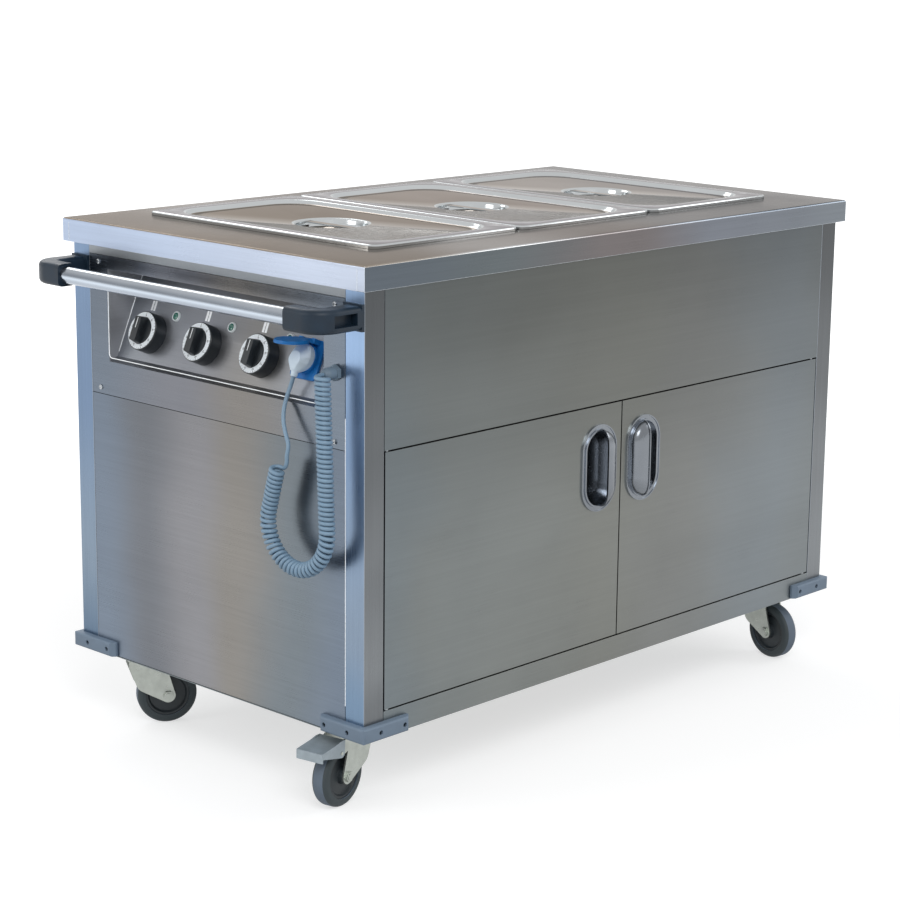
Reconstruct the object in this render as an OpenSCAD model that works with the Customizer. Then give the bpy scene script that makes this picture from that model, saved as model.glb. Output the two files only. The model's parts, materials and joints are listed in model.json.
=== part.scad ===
// Hostess trolley: heated serving trolley with three wells, lids, two doors and a curly mains cord.
// +X points away from the push bar, -Y is the door side, +Z is up, the floor is at z = 0.

/* [Body] */
// height of the worktop above the floor
total_h = 850; // [830:1:900]
// length of the worktop
top_l = 1190; // [1170:1:1250]
// width of the worktop
top_w = 700; // [690:1:740]
// height of the worktop's turned-down edge
apron_h = 38; // [30:1:50]
// rounding of the worktop's top edge
top_r = 4; // [2:0.5:6]
// how far the worktop stands out past the corner posts
overhang = 12; // [8:0.5:16]
// width of a corner post
post_w = 40; // [34:1:46]
// wall of a corner post
post_wall = 2; // [1.5:0.25:3]
// thickness of the cabinet sheets
sheet = 1.5; // [1:0.1:2]
// seam between neighbouring sheets
seam = 0.8; // [0.5:0.1:1.2]
// height of the rail under the doors
sill_h = 40; // [30:1:50]
// depth of the strip that shows between the control panel and the worktop edge
strip_h = 16; // [10:1:22]
// width of the top rails
rail_w = 25; // [20:1:30]

/* [Wells and lids] */
// length of a well insert, across the trolley
gn_l = 530; // [520:1:535]
// width of a well insert, along the trolley
gn_w = 325; // [320:1:328]
// space between neighbouring lids
lid_gap = 2; // [1:0.5:4]
// edge of the first lid, from the worktop's edge at the push bar
lid_x = 122; // [118:1:126]
// edge of the lids, from the worktop's door side
lid_y = 107; // [95:1:115]
// width of the worktop that a lid rests on
lid_rest = 10; // [8:0.5:12]
// depth of a well below the worktop
well_d = 205; // [150:5:215]
// corner radius of a well
well_r = 20; // [12:1:30]
// height of a lid's rim
rim_h = 6; // [4:0.5:8]
// width of the flat border round a lid's field
border_w = 28; // [22:1:32]
// corner radius of a lid's field
field_r = 60; // [40:1:75]
// depth of a lid's field below its border
field_d = 7; // [4:0.5:9]
// diameter of the round dish in a lid
dish_d = 116; // [100:1:125]
// depth of the dish below the field
dish_depth = 13; // [8:0.5:16]
// sheet of a lid
lid_t = 1; // [0.8:0.1:1.5]
// length of a heating plate
heater_l = 400; // [300:10:440]
// thickness of a heating plate
heater_t = 8; // [5:1:12]

/* [Doors] */
// height of the front above the doors, from the worktop's surface down
fascia_h = 283; // [270:1:310]
// thickness of a door
door_t = 20; // [16:1:24]
// sheet of a door
door_s = 1.2; // [1:0.1:1.6]
// gap round a door
door_gap = 2.5; // [2:0.1:3.5]
// diameter of the hinge pins
pin_d = 6; // [5:0.5:8]
// distance of a hinge pin from the door's edge
pin_in = 8; // [7:0.5:9]
// distance of a hinge pin from the door's face
pin_back = 6; // [5:0.25:6.5]
// distance of a grip's middle from the gap between the doors
grip_x = 56; // [50:1:70]
// distance of a grip's middle below the doors' top edge
grip_drop = 103; // [87:1:147]
// width of a grip's flange
grip_w = 85; // [76:1:90]
// height of a grip's flange
grip_h = 145; // [130:1:160]
// width of the flange round a grip's hollow
grip_rim = 9; // [7:0.5:11]
// how far a grip's hood stands out
hood_d = 19; // [14:0.5:24]
// depth of a grip's hollow behind the door's face
bowl_d = 15; // [10:0.5:16]
// space between the shelf and the cupboard's front
shelf_in = 20; // [15:1:30]
// height of the shelf's turned-up edges
shelf_h = 25; // [20:1:30]

/* [Control panel] */
// distance of the knob recess's lower edge below the worktop's surface
recess_drop = 225; // [215:1:235]
// height of the recess
recess_h = 150; // [140:1:155]
// side margin of the recess, from the corner post
recess_m = 46; // [40:1:52]
// depth of the recess's lower lip
lip_d = 16; // [12:1:20]
// rise of the lower lip
lip_h = 7; // [4:1:10]
// depth of the recess at the top
recess_d = 77; // [65:1:80]
// distance between neighbouring knobs
knob_pitch = 133.5; // [128:0.5:138]
// place of the middle knob along Y, from the middle of the trolley
knob_y = 50.5; // [46:0.5:56]
// distance of the knobs' seats below the worktop's surface
knob_drop = 176; // [170:1:182]
// diameter of a knob
knob_d = 64; // [54:1:68]
// height of a knob's skirt
knob_h = 23; // [18:1:28]
// height of the grip on a knob
knob_bar = 15; // [10:1:18]
// diameter of the thermostat shafts
shaft_d = 6; // [5:0.5:8]
// place of a lamp beside its knob
lamp_off = 44; // [42:1:50]
// distance of the lamps' seats below the worktop's surface
lamp_drop = 143; // [138:1:150]
// diameter of a lamp's bezel
lamp_d = 17; // [13:0.5:20]
// length of a lamp's body behind the panel
lamp_l = 20; // [16:1:24]
// width of a thermostat behind its knob
thermo_w = 36; // [30:1:40]
// depth of a thermostat
thermo_h = 34; // [28:1:40]
// place of the parking socket along Y, from the middle of the trolley
socket_y = -179; // [-184:1:-174]
// distance of the parking socket's seat below the worktop's surface
socket_drop = 166; // [162:1:170]
// width of the socket's flange
socket_w = 56; // [50:1:60]
// height of the socket's flange
socket_h = 62; // [56:1:66]
// diameter of the plug's face
plug_d = 38; // [36:0.5:40]
// diameter of the screw heads
screw_d = 8; // [6:0.5:10]

/* [Push bar and bumpers] */
// diameter of the push bar
bar_d = 27; // [24:0.5:30]
// distance of the push bar's axis from the worktop's edge
bar_out = 61; // [50:1:75]
// distance of the push bar's axis below the worktop's surface
bar_drop = 78; // [70:1:86]
// width of a bar bracket
arm_w = 34; // [32:1:40]
// height of a bar bracket
arm_h = 36; // [34:1:42]
// length of a bracket's sleeve round the bar
sleeve_l = 36; // [30:1:50]
// length of a bumper's leg
bump_l = 102; // [90:1:115]
// height of a bumper
bump_h = 24; // [18:1:30]

/* [Casters] */
// diameter of a wheel
wheel_d = 100; // [95:1:104]
// width of a tyre
tyre_w = 28; // [24:1:32]
// diameter of a wheel's hub
hub_d = 74; // [66:1:80]
// height of a caster, floor to plate
caster_h = 127; // [126:0.5:132]
// distance of the wheel's axle from the swivel axis
trail = 34; // [30:1:38]
// swivel axis, from the corner post's face at the end
swivel_x = 58; // [56:1:75]
// swivel axis, from the corner post's face at the side
swivel_y = 90; // [76:1:95]
// diameter of an axle
axle_d = 10; // [8:0.5:12]
// diameter of a swivel stud
stud_d = 12; // [10:0.5:14]

/* [Cord] */
// diameter of the cord
cord_d = 6.4; // [5.5:0.1:6.8]
// radius of a curl, to the middle of the cord
curl_r = 9.4; // [8.5:0.1:10]
// curls of the cord
curls = 57; // [48:1:60]

/* [Hidden] */
$fn = 48;

// running clearance of pins and shafts, and the gap between resting faces
run = 0.05;
rest = 0.3;

// outer extents
bar_front = bar_out + arm_w / 2;
xw = bar_front / 2 - top_l / 2;
grip_out = max(0, hood_d + 1.2 - overhang);
yw = (grip_out - top_w) / 2;
mid_y = yw + top_w / 2;
px = xw + overhang;
qx = xw + top_l - overhang;
py = yw + overhang;
qy = yw + top_w - overhang;
base_z = caster_h;
sill_z = base_z + sill_h;
under_z = total_h - sheet;
panel_top = total_h - apron_h - strip_h;
door_top = total_h - fascia_h;
grip_z = door_top - grip_drop;
recess_z = total_h - recess_drop;
knob_z = total_h - knob_drop;
lamp_z = total_h - lamp_drop;
socket_z = total_h - socket_drop;
bar_z = total_h - bar_drop;
panel_bot = door_top + door_gap;

// wells
cut_l = gn_l - 2 * lid_rest;
cut_w = gn_w - 2 * lid_rest;
function lid_cx(i) = xw + lid_x + gn_w / 2 + i * (gn_w + lid_gap);
lid_cy = yw + lid_y + gn_l / 2;

// doors
door_mid = (px + qx) / 2;
door_x0 = px + post_w + door_gap;
door_len = door_mid - door_gap / 2 - door_x0;
door_z0 = sill_z + door_gap;
door_len_z = door_top - door_z0;

// the sloping knob surface
slope_a = atan((recess_d - lip_d) / (recess_h - lip_h));
ry0 = py + post_w + recess_m;
ry1 = qy - post_w - recess_m;
function slope_x(z) = px + lip_d + (z - recess_z - lip_h) * tan(slope_a);
module on_slope(y, z) {
    translate([slope_x(z), y, z])
        rotate([0, slope_a - 90, 0])
            children();
}

// a square with rounded corners, made of true arcs
module round_rect(l, w, r) {
    square([l - 2 * r, w], center = true);
    square([l, w - 2 * r], center = true);
    for (a = [-1, 1], b = [-1, 1])
        translate([a * (l / 2 - r), b * (w / 2 - r)])
            circle(r);
}
module slab(l, w, r, h) {
    linear_extrude(h)
        round_rect(l, w, r);
}

// rings of a pressed sheet: half length, half width, corner radius, height
function ring(a, b, r, z, n) =
    [for (q = [0:3], k = [0:n])
        let (t = 90 * q + 90 * k / n,
             sx = (q == 0 || q == 3) ? 1 : -1,
             sy = q < 2 ? 1 : -1)
        [sx * (a - r) + r * cos(t), sy * (b - r) + r * sin(t), z]];
module loft(rings, n) {
    m = 4 * (n + 1);
    c = len(rings);
    pts = [for (g = rings) each ring(g[0], g[1], g[2], g[3], n)];
    lo = len(pts);
    all = concat(pts, [[0, 0, rings[0][3]], [0, 0, rings[c - 1][3]]]);
    side = [for (i = [0:c - 2], j = [0:m - 1])
        let (a = i * m + j, b = i * m + (j + 1) % m)
        each [[a, b, b + m], [a, b + m, a + m]]];
    cap0 = [for (j = [0:m - 1]) [(j + 1) % m, j, lo]];
    cap1 = [for (j = [0:m - 1]) [(c - 1) * m + j, (c - 1) * m + (j + 1) % m, lo + 1]];
    polyhedron(all, concat(side, cap0, cap1));
}

// a tube swept along points, with a steady reference direction for its sides
function unit(v) = v / norm(v);
module tube_along(p, ref, d, n) {
    c = len(p);
    dir = [for (i = [0:c - 1]) unit(p[min(i + 1, c - 1)] - p[max(i - 1, 0)])];
    pts = [for (i = [0:c - 1])
        let (t = dir[i],
             u = unit(cross(t, ref[i])),
             w = cross(u, t))
        each [for (k = [0:n - 1]) p[i] + d / 2 * (cos(360 * k / n) * w + sin(360 * k / n) * u)]];
    side = [for (i = [0:c - 2], j = [0:n - 1])
        let (a = i * n + j, b = i * n + (j + 1) % n)
        each [[a, b + n, b], [a, a + n, b + n]]];
    cap0 = [for (j = [1:n - 2]) [0, j, j + 1]];
    cap1 = [for (j = [1:n - 2]) [(c - 1) * n, (c - 1) * n + j + 1, (c - 1) * n + j]];
    polyhedron(pts, concat(side, cap0, cap1));
}

steel = [0.78, 0.79, 0.8];
dark = [0.12, 0.12, 0.13];
grey = [0.42, 0.46, 0.5];

// ---------------------------------------------------------------- body
module post(x, y) {
    z0 = base_z + sheet;
    translate([x, y, z0])
        difference() {
            cube([post_w, post_w, under_z - z0]);
            translate([post_wall, post_wall, -1])
                cube([post_w - 2 * post_wall, post_w - 2 * post_wall, under_z - z0 + 2]);
        }
}
module post_front_left() { color(steel) post(px, py); }
module post_front_right() { color(steel) post(qx - post_w, py); }
module post_rear_left() { color(steel) post(px, qy - post_w); }
module post_rear_right() { color(steel) post(qx - post_w, qy - post_w); }

// floor pan with the sill under the doors
module base_pan() {
    l = qx - px;
    w = qy - py;
    il = l - 2 * post_w - 2 * seam;
    deep = sheet + seam;
    color(steel) difference() {
        union() {
            translate([px, py, base_z])
                cube([l, w, sheet]);
            translate([px + post_w + seam, py, base_z])
                cube([il, w - deep, sill_h]);
            translate([px + deep, py + post_w + seam, base_z])
                cube([l - 2 * deep, w - 2 * post_w - 2 * seam, sill_h]);
        }
        translate([px + post_w + seam + sheet, py + sheet, base_z + sheet])
            cube([il - 2 * sheet, w - deep - 2 * sheet, sill_h - 2 * sheet]);
        translate([px + deep + sheet, py + post_w + seam + sheet, base_z + sheet])
            cube([l - 2 * deep - 2 * sheet, w - 2 * (post_w + seam + sheet), sill_h - 2 * sheet]);
        for (x = [door_x0 + pin_in, qx - post_w - door_gap - pin_in])
            translate([x, py + pin_back, sill_z - 3])
                cylinder(h = 6, d = pin_d + 2 * run);
    }
}

// rails between the posts, under the worktop
module rail_box(x, y, l, w, h) {
    translate([x, y, under_z - h])
        difference() {
            cube([l, w, h]);
            if (l > w)
                translate([-1, sheet, sheet])
                    cube([l + 2, w - 2 * sheet, h - 2 * sheet]);
            else
                translate([sheet, -1, sheet])
                    cube([l - 2 * sheet, w + 2, h - 2 * sheet]);
        }
}
module top_rails() {
    lx = qx - px - 2 * post_w;
    ly = qy - py - 2 * post_w;
    h = under_z - panel_top - seam;
    color(steel) {
        rail_box(px, py + post_w, rail_w, ly, h);
        rail_box(qx - sheet - rail_w, py + post_w, rail_w, ly, h);
        rail_box(px + post_w, py + sheet, lx, rail_w, h);
        rail_box(px + post_w, qy - sheet - rail_w, lx, rail_w, h);
    }
}

// worktop: mitred rounded edge all round, open below, three cut-outs
module top_profile(w, h, r) {
    translate([-w / 2, 0])
        square([w, h - r]);
    translate([-w / 2 + r, 0])
        square([w - 2 * r, h]);
    for (s = [-1, 1])
        translate([s * (w / 2 - r), h - r])
            circle(r);
}
module worktop() {
    z0 = total_h - apron_h;
    mid = xw + top_l / 2;
    color(steel) difference() {
        intersection() {
            translate([mid, yw + top_w, z0])
                rotate([90, 0, 0])
                    linear_extrude(top_w)
                        top_profile(top_l, apron_h, top_r);
            translate([xw, mid_y, z0])
                rotate([90, 0, 90])
                    linear_extrude(top_l)
                        top_profile(top_w, apron_h, top_r);
        }
        translate([xw + sheet, yw + sheet, z0 - 1])
            cube([top_l - 2 * sheet, top_w - 2 * sheet, apron_h + 1 - sheet]);
        for (i = [0:2])
            translate([lid_cx(i), lid_cy, z0])
                slab(cut_w, cut_l, well_r, apron_h + 1);
        // seams of the folded corners
        for (x = [xw - 0.4, xw + top_l - 0.4], y = [yw + 15, yw + top_w - 16])
            translate([x, y, z0 - 1])
                cube([0.8, 1, apron_h - 6]);
    }
}

// wells hang from the worktop's underside by a narrow flange
module well(i) {
    drain_d = 26;
    fl = min(8, (gn_w + lid_gap - cut_w) / 2 - 2);
    color(steel) translate([lid_cx(i), lid_cy, 0])
        difference() {
            union() {
                translate([0, 0, total_h - well_d])
                    slab(cut_w + 2 * sheet, cut_l + 2 * sheet, well_r + sheet, well_d - sheet);
                translate([0, 0, under_z - sheet])
                    slab(cut_w + 2 * fl, cut_l + 2 * fl, well_r + fl, sheet);
                translate([0, -cut_l / 2 + 32, total_h - well_d - 25])
                    cylinder(h = 26, d = drain_d);
            }
            translate([0, 0, total_h - well_d + sheet])
                slab(cut_w, cut_l, well_r, well_d);
            translate([0, -cut_l / 2 + 32, total_h - well_d - 22])
                cylinder(h = 30, d = drain_d - 6);
        }
}
module well_left() { well(0); }
module well_middle() { well(1); }
module well_right() { well(2); }

module heating_plates() {
    color([0.55, 0.5, 0.45]) for (i = [0:2])
        translate([lid_cx(i), lid_cy + 20, total_h - well_d - heater_t])
            slab(cut_w - 90, heater_l, 20, heater_t);
}

// front fascia with the lower return that carries the top hinge pins
module front_fascia() {
    x0 = px + post_w + seam;
    l = qx - px - 2 * post_w - 2 * seam;
    z0 = door_top + door_gap;
    color(steel) difference() {
        union() {
            translate([x0, py, z0])
                cube([l, sheet, under_z - z0]);
            translate([x0, py, z0])
                cube([l, door_t + 4, sheet * 2]);
        }
        for (x = [door_x0 + pin_in, qx - post_w - door_gap - pin_in])
            translate([x, py + pin_back, z0 - 1])
                cylinder(h = 2 * sheet + 2, d = pin_d + 2 * run);
    }
}

// control panel: flat rim, sloping knob surface, two cheeks and a ceiling
function recess_line(g) =
    let (n1 = unit([lip_h, -lip_d]),
         n2 = [cos(slope_a), -sin(slope_a)],
         m = (n1 + n2) / (1 + n1 * n2),
         low = recess_z - g * norm([lip_d, lip_h]) / lip_d,
         top = recess_z + recess_h + g)
    [[-1, low], [0, low], [lip_d + g * m[0], recess_z + lip_h + g * m[1]],
     [recess_d + g / cos(slope_a) + g * tan(slope_a), top], [-1, top]];
module recess_solid(g) {
    translate([px, ry1 + g, 0])
        rotate([90, 0, 0])
            linear_extrude(ry1 - ry0 + 2 * g)
                polygon(recess_line(g));
}
module control_panel() {
    y0 = py + post_w + seam;
    w = qy - py - 2 * post_w - 2 * seam;
    color(steel) difference() {
        union() {
            translate([px, y0, panel_bot])
                cube([sheet, w, panel_top - panel_bot]);
            intersection() {
                recess_solid(sheet);
                translate([px, py, 0])
                    cube([200, qy - py, total_h]);
            }
        }
        recess_solid(0);
        for (k = [-1:1]) {
            on_slope(mid_y + knob_y + k * knob_pitch, knob_z)
                translate([0, 0, -4])
                    cylinder(h = 8, d = shaft_d + 4);
            on_slope(mid_y + knob_y + k * knob_pitch - lamp_off, lamp_z)
                translate([0, 0, -4])
                    cylinder(h = 8, d = lamp_d - 5);
        }
        on_slope(mid_y + socket_y, socket_z)
            translate([0, 0, -4])
                cylinder(h = 8, d = plug_d + 6);
        translate([px - 1, gland_y, gland_z])
            rotate([0, 90, 0])
                cylinder(h = 4, d = 16);
    }
}
gland_y = ry0 - 26;
gland_z = socket_z;
gland_l = 26;

module end_panel_left() {
    y0 = py + post_w + seam;
    w = qy - py - 2 * post_w - 2 * seam;
    z0 = base_z + sheet + seam;
    color(steel) {
        translate([px, y0, z0])
            cube([sheet, w, panel_bot - seam - z0]);
    }
}
module end_panel_right() {
    y0 = py + post_w + seam;
    w = qy - py - 2 * post_w - 2 * seam;
    z0 = base_z + sheet + seam;
    color(steel) translate([qx - sheet, y0, z0])
        cube([sheet, w, under_z - z0]);
}
module back_panel() {
    z0 = base_z + sheet + seam;
    color(steel) translate([px + post_w + seam, qy - sheet, z0])
        cube([qx - px - 2 * post_w - 2 * seam, sheet, under_z - z0]);
}

// cupboard behind the doors: a box open to the front with a frame that closes to the posts
liner_x = px + post_w;
liner_y = py + door_t + 4;
liner_t = 1;
liner_top = door_top - 6;
liner_back = qy - 16;
shelf_z = sill_z + 0.4575 * (door_top - sill_z);
module cupboard_liner() {
    l = qx - px - 2 * post_w;
    color(steel) difference() {
        union() {
            translate([liner_x, liner_y, sill_z])
                cube([l, liner_back - liner_y, liner_top - sill_z]);
            translate([liner_x, liner_y, liner_top - 1])
                cube([l, liner_t, panel_bot - liner_top + 1]);
        }
        translate([liner_x + liner_t, liner_y - 1, sill_z + liner_t])
            cube([l - 2 * liner_t, liner_back - liner_y + 1 - liner_t, liner_top - sill_z - 2 * liner_t]);
    }
    color(steel) for (s = [0, 1])
        translate([s == 0 ? liner_x + liner_t : liner_x + l - liner_t - 14, liner_y + shelf_in, shelf_z - 14])
            difference() {
                cube([14, liner_back - liner_y - 2 * shelf_in, 14]);
                translate([s == 0 ? 1.5 : -1, -1, -1])
                    cube([13.5, liner_back - liner_y, 13.5]);
            }
}
module shelf() {
    l = qx - px - 2 * post_w - 2 * liner_t - 4;
    w = liner_back - liner_y - 1.5 * shelf_in;
    color(steel) translate([liner_x + liner_t + 2, liner_y + shelf_in, shelf_z])
        difference() {
            cube([l, w, shelf_h]);
            translate([-1, 1.2, 1.2])
                cube([l + 2, w - 2.4, 30]);
            for (s = [0, 1])
                translate([s == 0 ? -1 : l - 19, -1, 1.2])
                    cube([20, w + 2, 30]);
        }
}

// ---------------------------------------------------------------- push bar
bar_x = xw - bar_out;
elbow = 6;
elbow_x = bar_x + arm_w / 2 + elbow;
elbow_y = py + arm_w + elbow;
sleeve_y = elbow_y + sleeve_l;
bar_half = mid_y - sleeve_y + sleeve_l / 2;
module push_bar() {
    color(steel) translate([bar_x, mid_y - bar_half, bar_z])
        rotate([-90, 0, 0])
            difference() {
                cylinder(h = 2 * bar_half, d = bar_d);
                translate([0, 0, -1])
                    cylinder(h = 2 * bar_half + 2, d = bar_d - 4);
            }
}
module arm_profile() { round_rect(arm_w, arm_h, 8); }
module bracket() {
    pocket_w = 18;
    difference() {
        union() {
            translate([elbow_x, py + arm_w / 2, bar_z])
                rotate([90, 0, 90])
                    linear_extrude(px - elbow_x)
                        arm_profile();
            translate([elbow_x, elbow_y, bar_z])
                rotate([0, 0, 180])
                    rotate_extrude(angle = 90)
                        translate([arm_w / 2 + elbow, 0])
                            arm_profile();
            translate([bar_x, elbow_y, bar_z])
                rotate([-90, 0, 0])
                    linear_extrude(sleeve_l)
                        arm_profile();
            translate([px - 5, py, bar_z - arm_h / 2 - 2])
                cube([5, post_w, arm_h + 4]);
        }
        translate([bar_x, bar_y0, bar_z])
            rotate([-90, 0, 0])
                cylinder(h = sleeve_l, d = bar_d + 2 * run);
        translate([elbow_x - 8, py - 1, bar_z - pocket_w / 2])
            cube([px - 14 - elbow_x + 8, 15, pocket_w]);
    }
}
bar_y0 = sleeve_y - sleeve_l / 2 - rest;
module bracket_front() { color(dark) bracket(); }
module bracket_rear() { color(dark) translate([0, 2 * mid_y, 0]) mirror([0, 1, 0]) bracket(); }

// ---------------------------------------------------------------- bumpers and screws
bump_z = base_z + sheet;
hole_at = [bump_l * 0.36, bump_l * 0.855];
// side view of a bumper, rounded on its outer edges
module bump_side() {
    r = 4;
    translate([r, 0])
        square([bump_l - r, bump_h]);
    translate([0, r])
        square([bump_l, bump_h - 2 * r]);
    for (z = [r, bump_h - r])
        translate([r, z])
            circle(r);
}
module bumper() {
    t = overhang;
    c = 8;
    translate([0, 0, bump_z])
        difference() {
            intersection() {
                rotate([90, 0, 90])
                    linear_extrude(bump_l)
                        bump_side();
                translate([0, bump_l, 0])
                    rotate([90, 0, 0])
                        linear_extrude(bump_l)
                            bump_side();
                linear_extrude(bump_h)
                    union() {
                        polygon([[t / 2, 0], [bump_l - c, 0], [bump_l, c], [bump_l, t], [t, t],
                            [t, bump_l], [c, bump_l], [0, bump_l - c], [0, t / 2], [t / 2, t / 2]]);
                        translate([t / 2, t / 2])
                            circle(t / 2);
                    }
            }
            for (a = hole_at, s = [0, 1])
                mirror([s, -s, 0])
                    translate([a, -0.01, bump_h / 2])
                        rotate([-90, 0, 0]) {
                            cylinder(h = t + 1, d = 5);
                            cylinder(h = 5.01, d = 7.6);
                        }
        }
}
module bump_screws() {
    for (a = hole_at, s = [0, 1])
        mirror([s, -s, 0])
            translate([a, 0, bump_z + bump_h / 2])
                rotate([-90, 0, 0])
                    difference() {
                        union() {
                            translate([0, 0, 2.6])
                                cylinder(h = 2.4, d = 7);
                            translate([0, 0, 4])
                                cylinder(h = overhang - 4, d = 4.6);
                        }
                        translate([0, 0, 2])
                            cylinder(h = 2, d = 3, $fn = 6);
                    }
}
module at_corner(i) {
    translate([i % 2 == 0 ? xw : xw + top_l, i < 2 ? yw : yw + top_w, 0])
        mirror([i % 2, 0, 0])
            mirror([0, i < 2 ? 0 : 1, 0])
                children();
}
module bumper_front_left() { color(grey) at_corner(0) bumper(); }
module bumper_front_right() { color(grey) at_corner(1) bumper(); }
module bumper_rear_left() { color(grey) at_corner(2) bumper(); }
module bumper_rear_right() { color(grey) at_corner(3) bumper(); }
module screws() {
    color(steel) {
        for (i = [0:3])
            at_corner(i)
                bump_screws();
        for (s = [-1, 1], z = [panel_bot + 10, panel_top - 11])
            translate([px, mid_y + s * (qy - mid_y - post_w - 22.5), z])
                rotate([0, -90, 0])
                    difference() {
                        union() {
                            cylinder(h = 1.4, d = screw_d);
                            translate([0, 0, 1.4])
                                cylinder(h = 1.2, d1 = screw_d, d2 = screw_d - 3);
                        }
                        translate([0, 0, 1.2])
                            cylinder(h = 2, d = 3, $fn = 6);
                    }
    }
}

// ---------------------------------------------------------------- hinge pins and doors
module hinge_pins() {
    low = sill_z - 3;
    top = panel_bot + 2 * sheet;
    color(steel) for (x = [door_x0 + pin_in, qx - post_w - door_gap - pin_in]) {
        translate([x, py + pin_back, low]) {
            cylinder(h = 3 + door_gap + 10, d = pin_d);
            translate([0, 0, 3])
                cylinder(h = door_gap - rest, d = pin_d + 3);
        }
        translate([x, py + pin_back, door_top - 10])
            cylinder(h = top - door_top + 10, d = pin_d);
    }
}
module stadium(w, h) {
    square([w, h - w], center = true);
    for (s = [-1, 1])
        translate([0, s * (h - w) / 2])
            circle(w / 2);
}
grip_iw = grip_w - 2 * grip_rim;
grip_ih = grip_h - 2 * grip_rim;
module door(s) {
    x0 = s < 0 ? door_x0 : qx - post_w - door_gap - door_len;
    gx = door_mid + s * grip_x;
    hx = s < 0 ? door_x0 + pin_in : qx - post_w - door_gap - pin_in;
    color(steel) difference() {
        union() {
            translate([x0, py, door_z0])
                difference() {
                    cube([door_len, door_t, door_len_z]);
                    translate([door_s, door_s, door_s])
                        cube([door_len - 2 * door_s, door_t - 2 * door_s, door_len_z - 2 * door_s]);
                }
            for (z = [door_z0, door_top - 14])
                translate([s < 0 ? x0 : x0 + door_len - 24, py + 0.5, z])
                    cube([24, door_t - 1, 14]);
        }
        for (z = [door_z0 - 1, door_top - 12])
            translate([hx, py + pin_back, z])
                cylinder(h = 13, d = pin_d + 2 * run);
        translate([gx, py - 1, grip_z])
            rotate([-90, 0, 0])
                linear_extrude(door_s + 2)
                    stadium(grip_iw + 0.6, grip_ih + 0.6);
    }
}
module door_left() { door(-1); }
module door_right() { door(1); }

// grip: flat flange, hollow behind it and a hood over the half next to the gap
hood_n = 7;
grip_mid = (grip_ih - grip_iw) / 2;
function fuller(v) = sign(v) * pow(abs(v), 0.72);
function hood_arc(g, f0, f1) =
    [for (k = [0:hood_n])
        let (f = f0 + (f1 - f0) * k / hood_n)
        [(grip_iw / 2 + g) * fuller(cos(f)), (hood_d + g) * fuller(sin(f))]];
function shift(list, v) = [for (q = list) q + v];
module hood_section() {
    polygon(concat(hood_arc(0, 0, 90), hood_arc(-1.4, 90, 0)));
}
hood_edge = 3;
module hood() {
    difference() {
        union() {
            for (s = [-1, 1])
                translate([0, s * grip_mid, 0])
                    rotate([0, 0, s < 0 ? -90 : 0])
                        rotate_extrude(angle = 90)
                            hood_section();
            translate([0, grip_mid, 0])
                rotate([90, 0, 0])
                    linear_extrude(2 * grip_mid)
                        hood_section();
        }
        translate([-5, -grip_h, -1])
            cube([5 + hood_edge, 2 * grip_h, hood_d + 5]);
    }
    // rolled edge of the hood
    translate([hood_edge - 0.5, 0, 0])
        rotate([90, 0, 90])
            linear_extrude(2.5)
                polygon(concat(shift(hood_arc(1.2, 0, 90), [grip_mid, 0]), shift(hood_arc(1.2, 90, 180), [-grip_mid, 0]),
                    shift(hood_arc(-2, 180, 90), [-grip_mid, 0]), shift(hood_arc(-2, 90, 0), [grip_mid, 0])));
}
module grip(s) {
    color(steel) translate([door_mid + s * grip_x, py, grip_z])
        rotate([90, 0, 0]) {
            linear_extrude(1.5)
                difference() {
                    stadium(grip_w, grip_h);
                    stadium(grip_iw - 2, grip_ih - 2);
                }
            // rolled outer edge, and the bead round the hollow
            linear_extrude(2.6)
                difference() {
                    stadium(grip_w, grip_h);
                    stadium(grip_w - 4, grip_h - 4);
                }
            linear_extrude(3.4)
                difference() {
                    stadium(grip_iw + 4, grip_ih + 4);
                    stadium(grip_iw - 2, grip_ih - 2);
                }
            translate([0, 0, -bowl_d])
                linear_extrude(bowl_d)
                    difference() {
                        stadium(grip_iw, grip_ih);
                        stadium(grip_iw - 2, grip_ih - 2);
                    }
            translate([0, 0, -bowl_d])
                linear_extrude(1)
                    stadium(grip_iw, grip_ih);
            mirror([s < 0 ? 0 : 1, 0, 0])
                hood();
        }
}
module grip_left() { grip(-1); }
module grip_right() { grip(1); }

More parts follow.
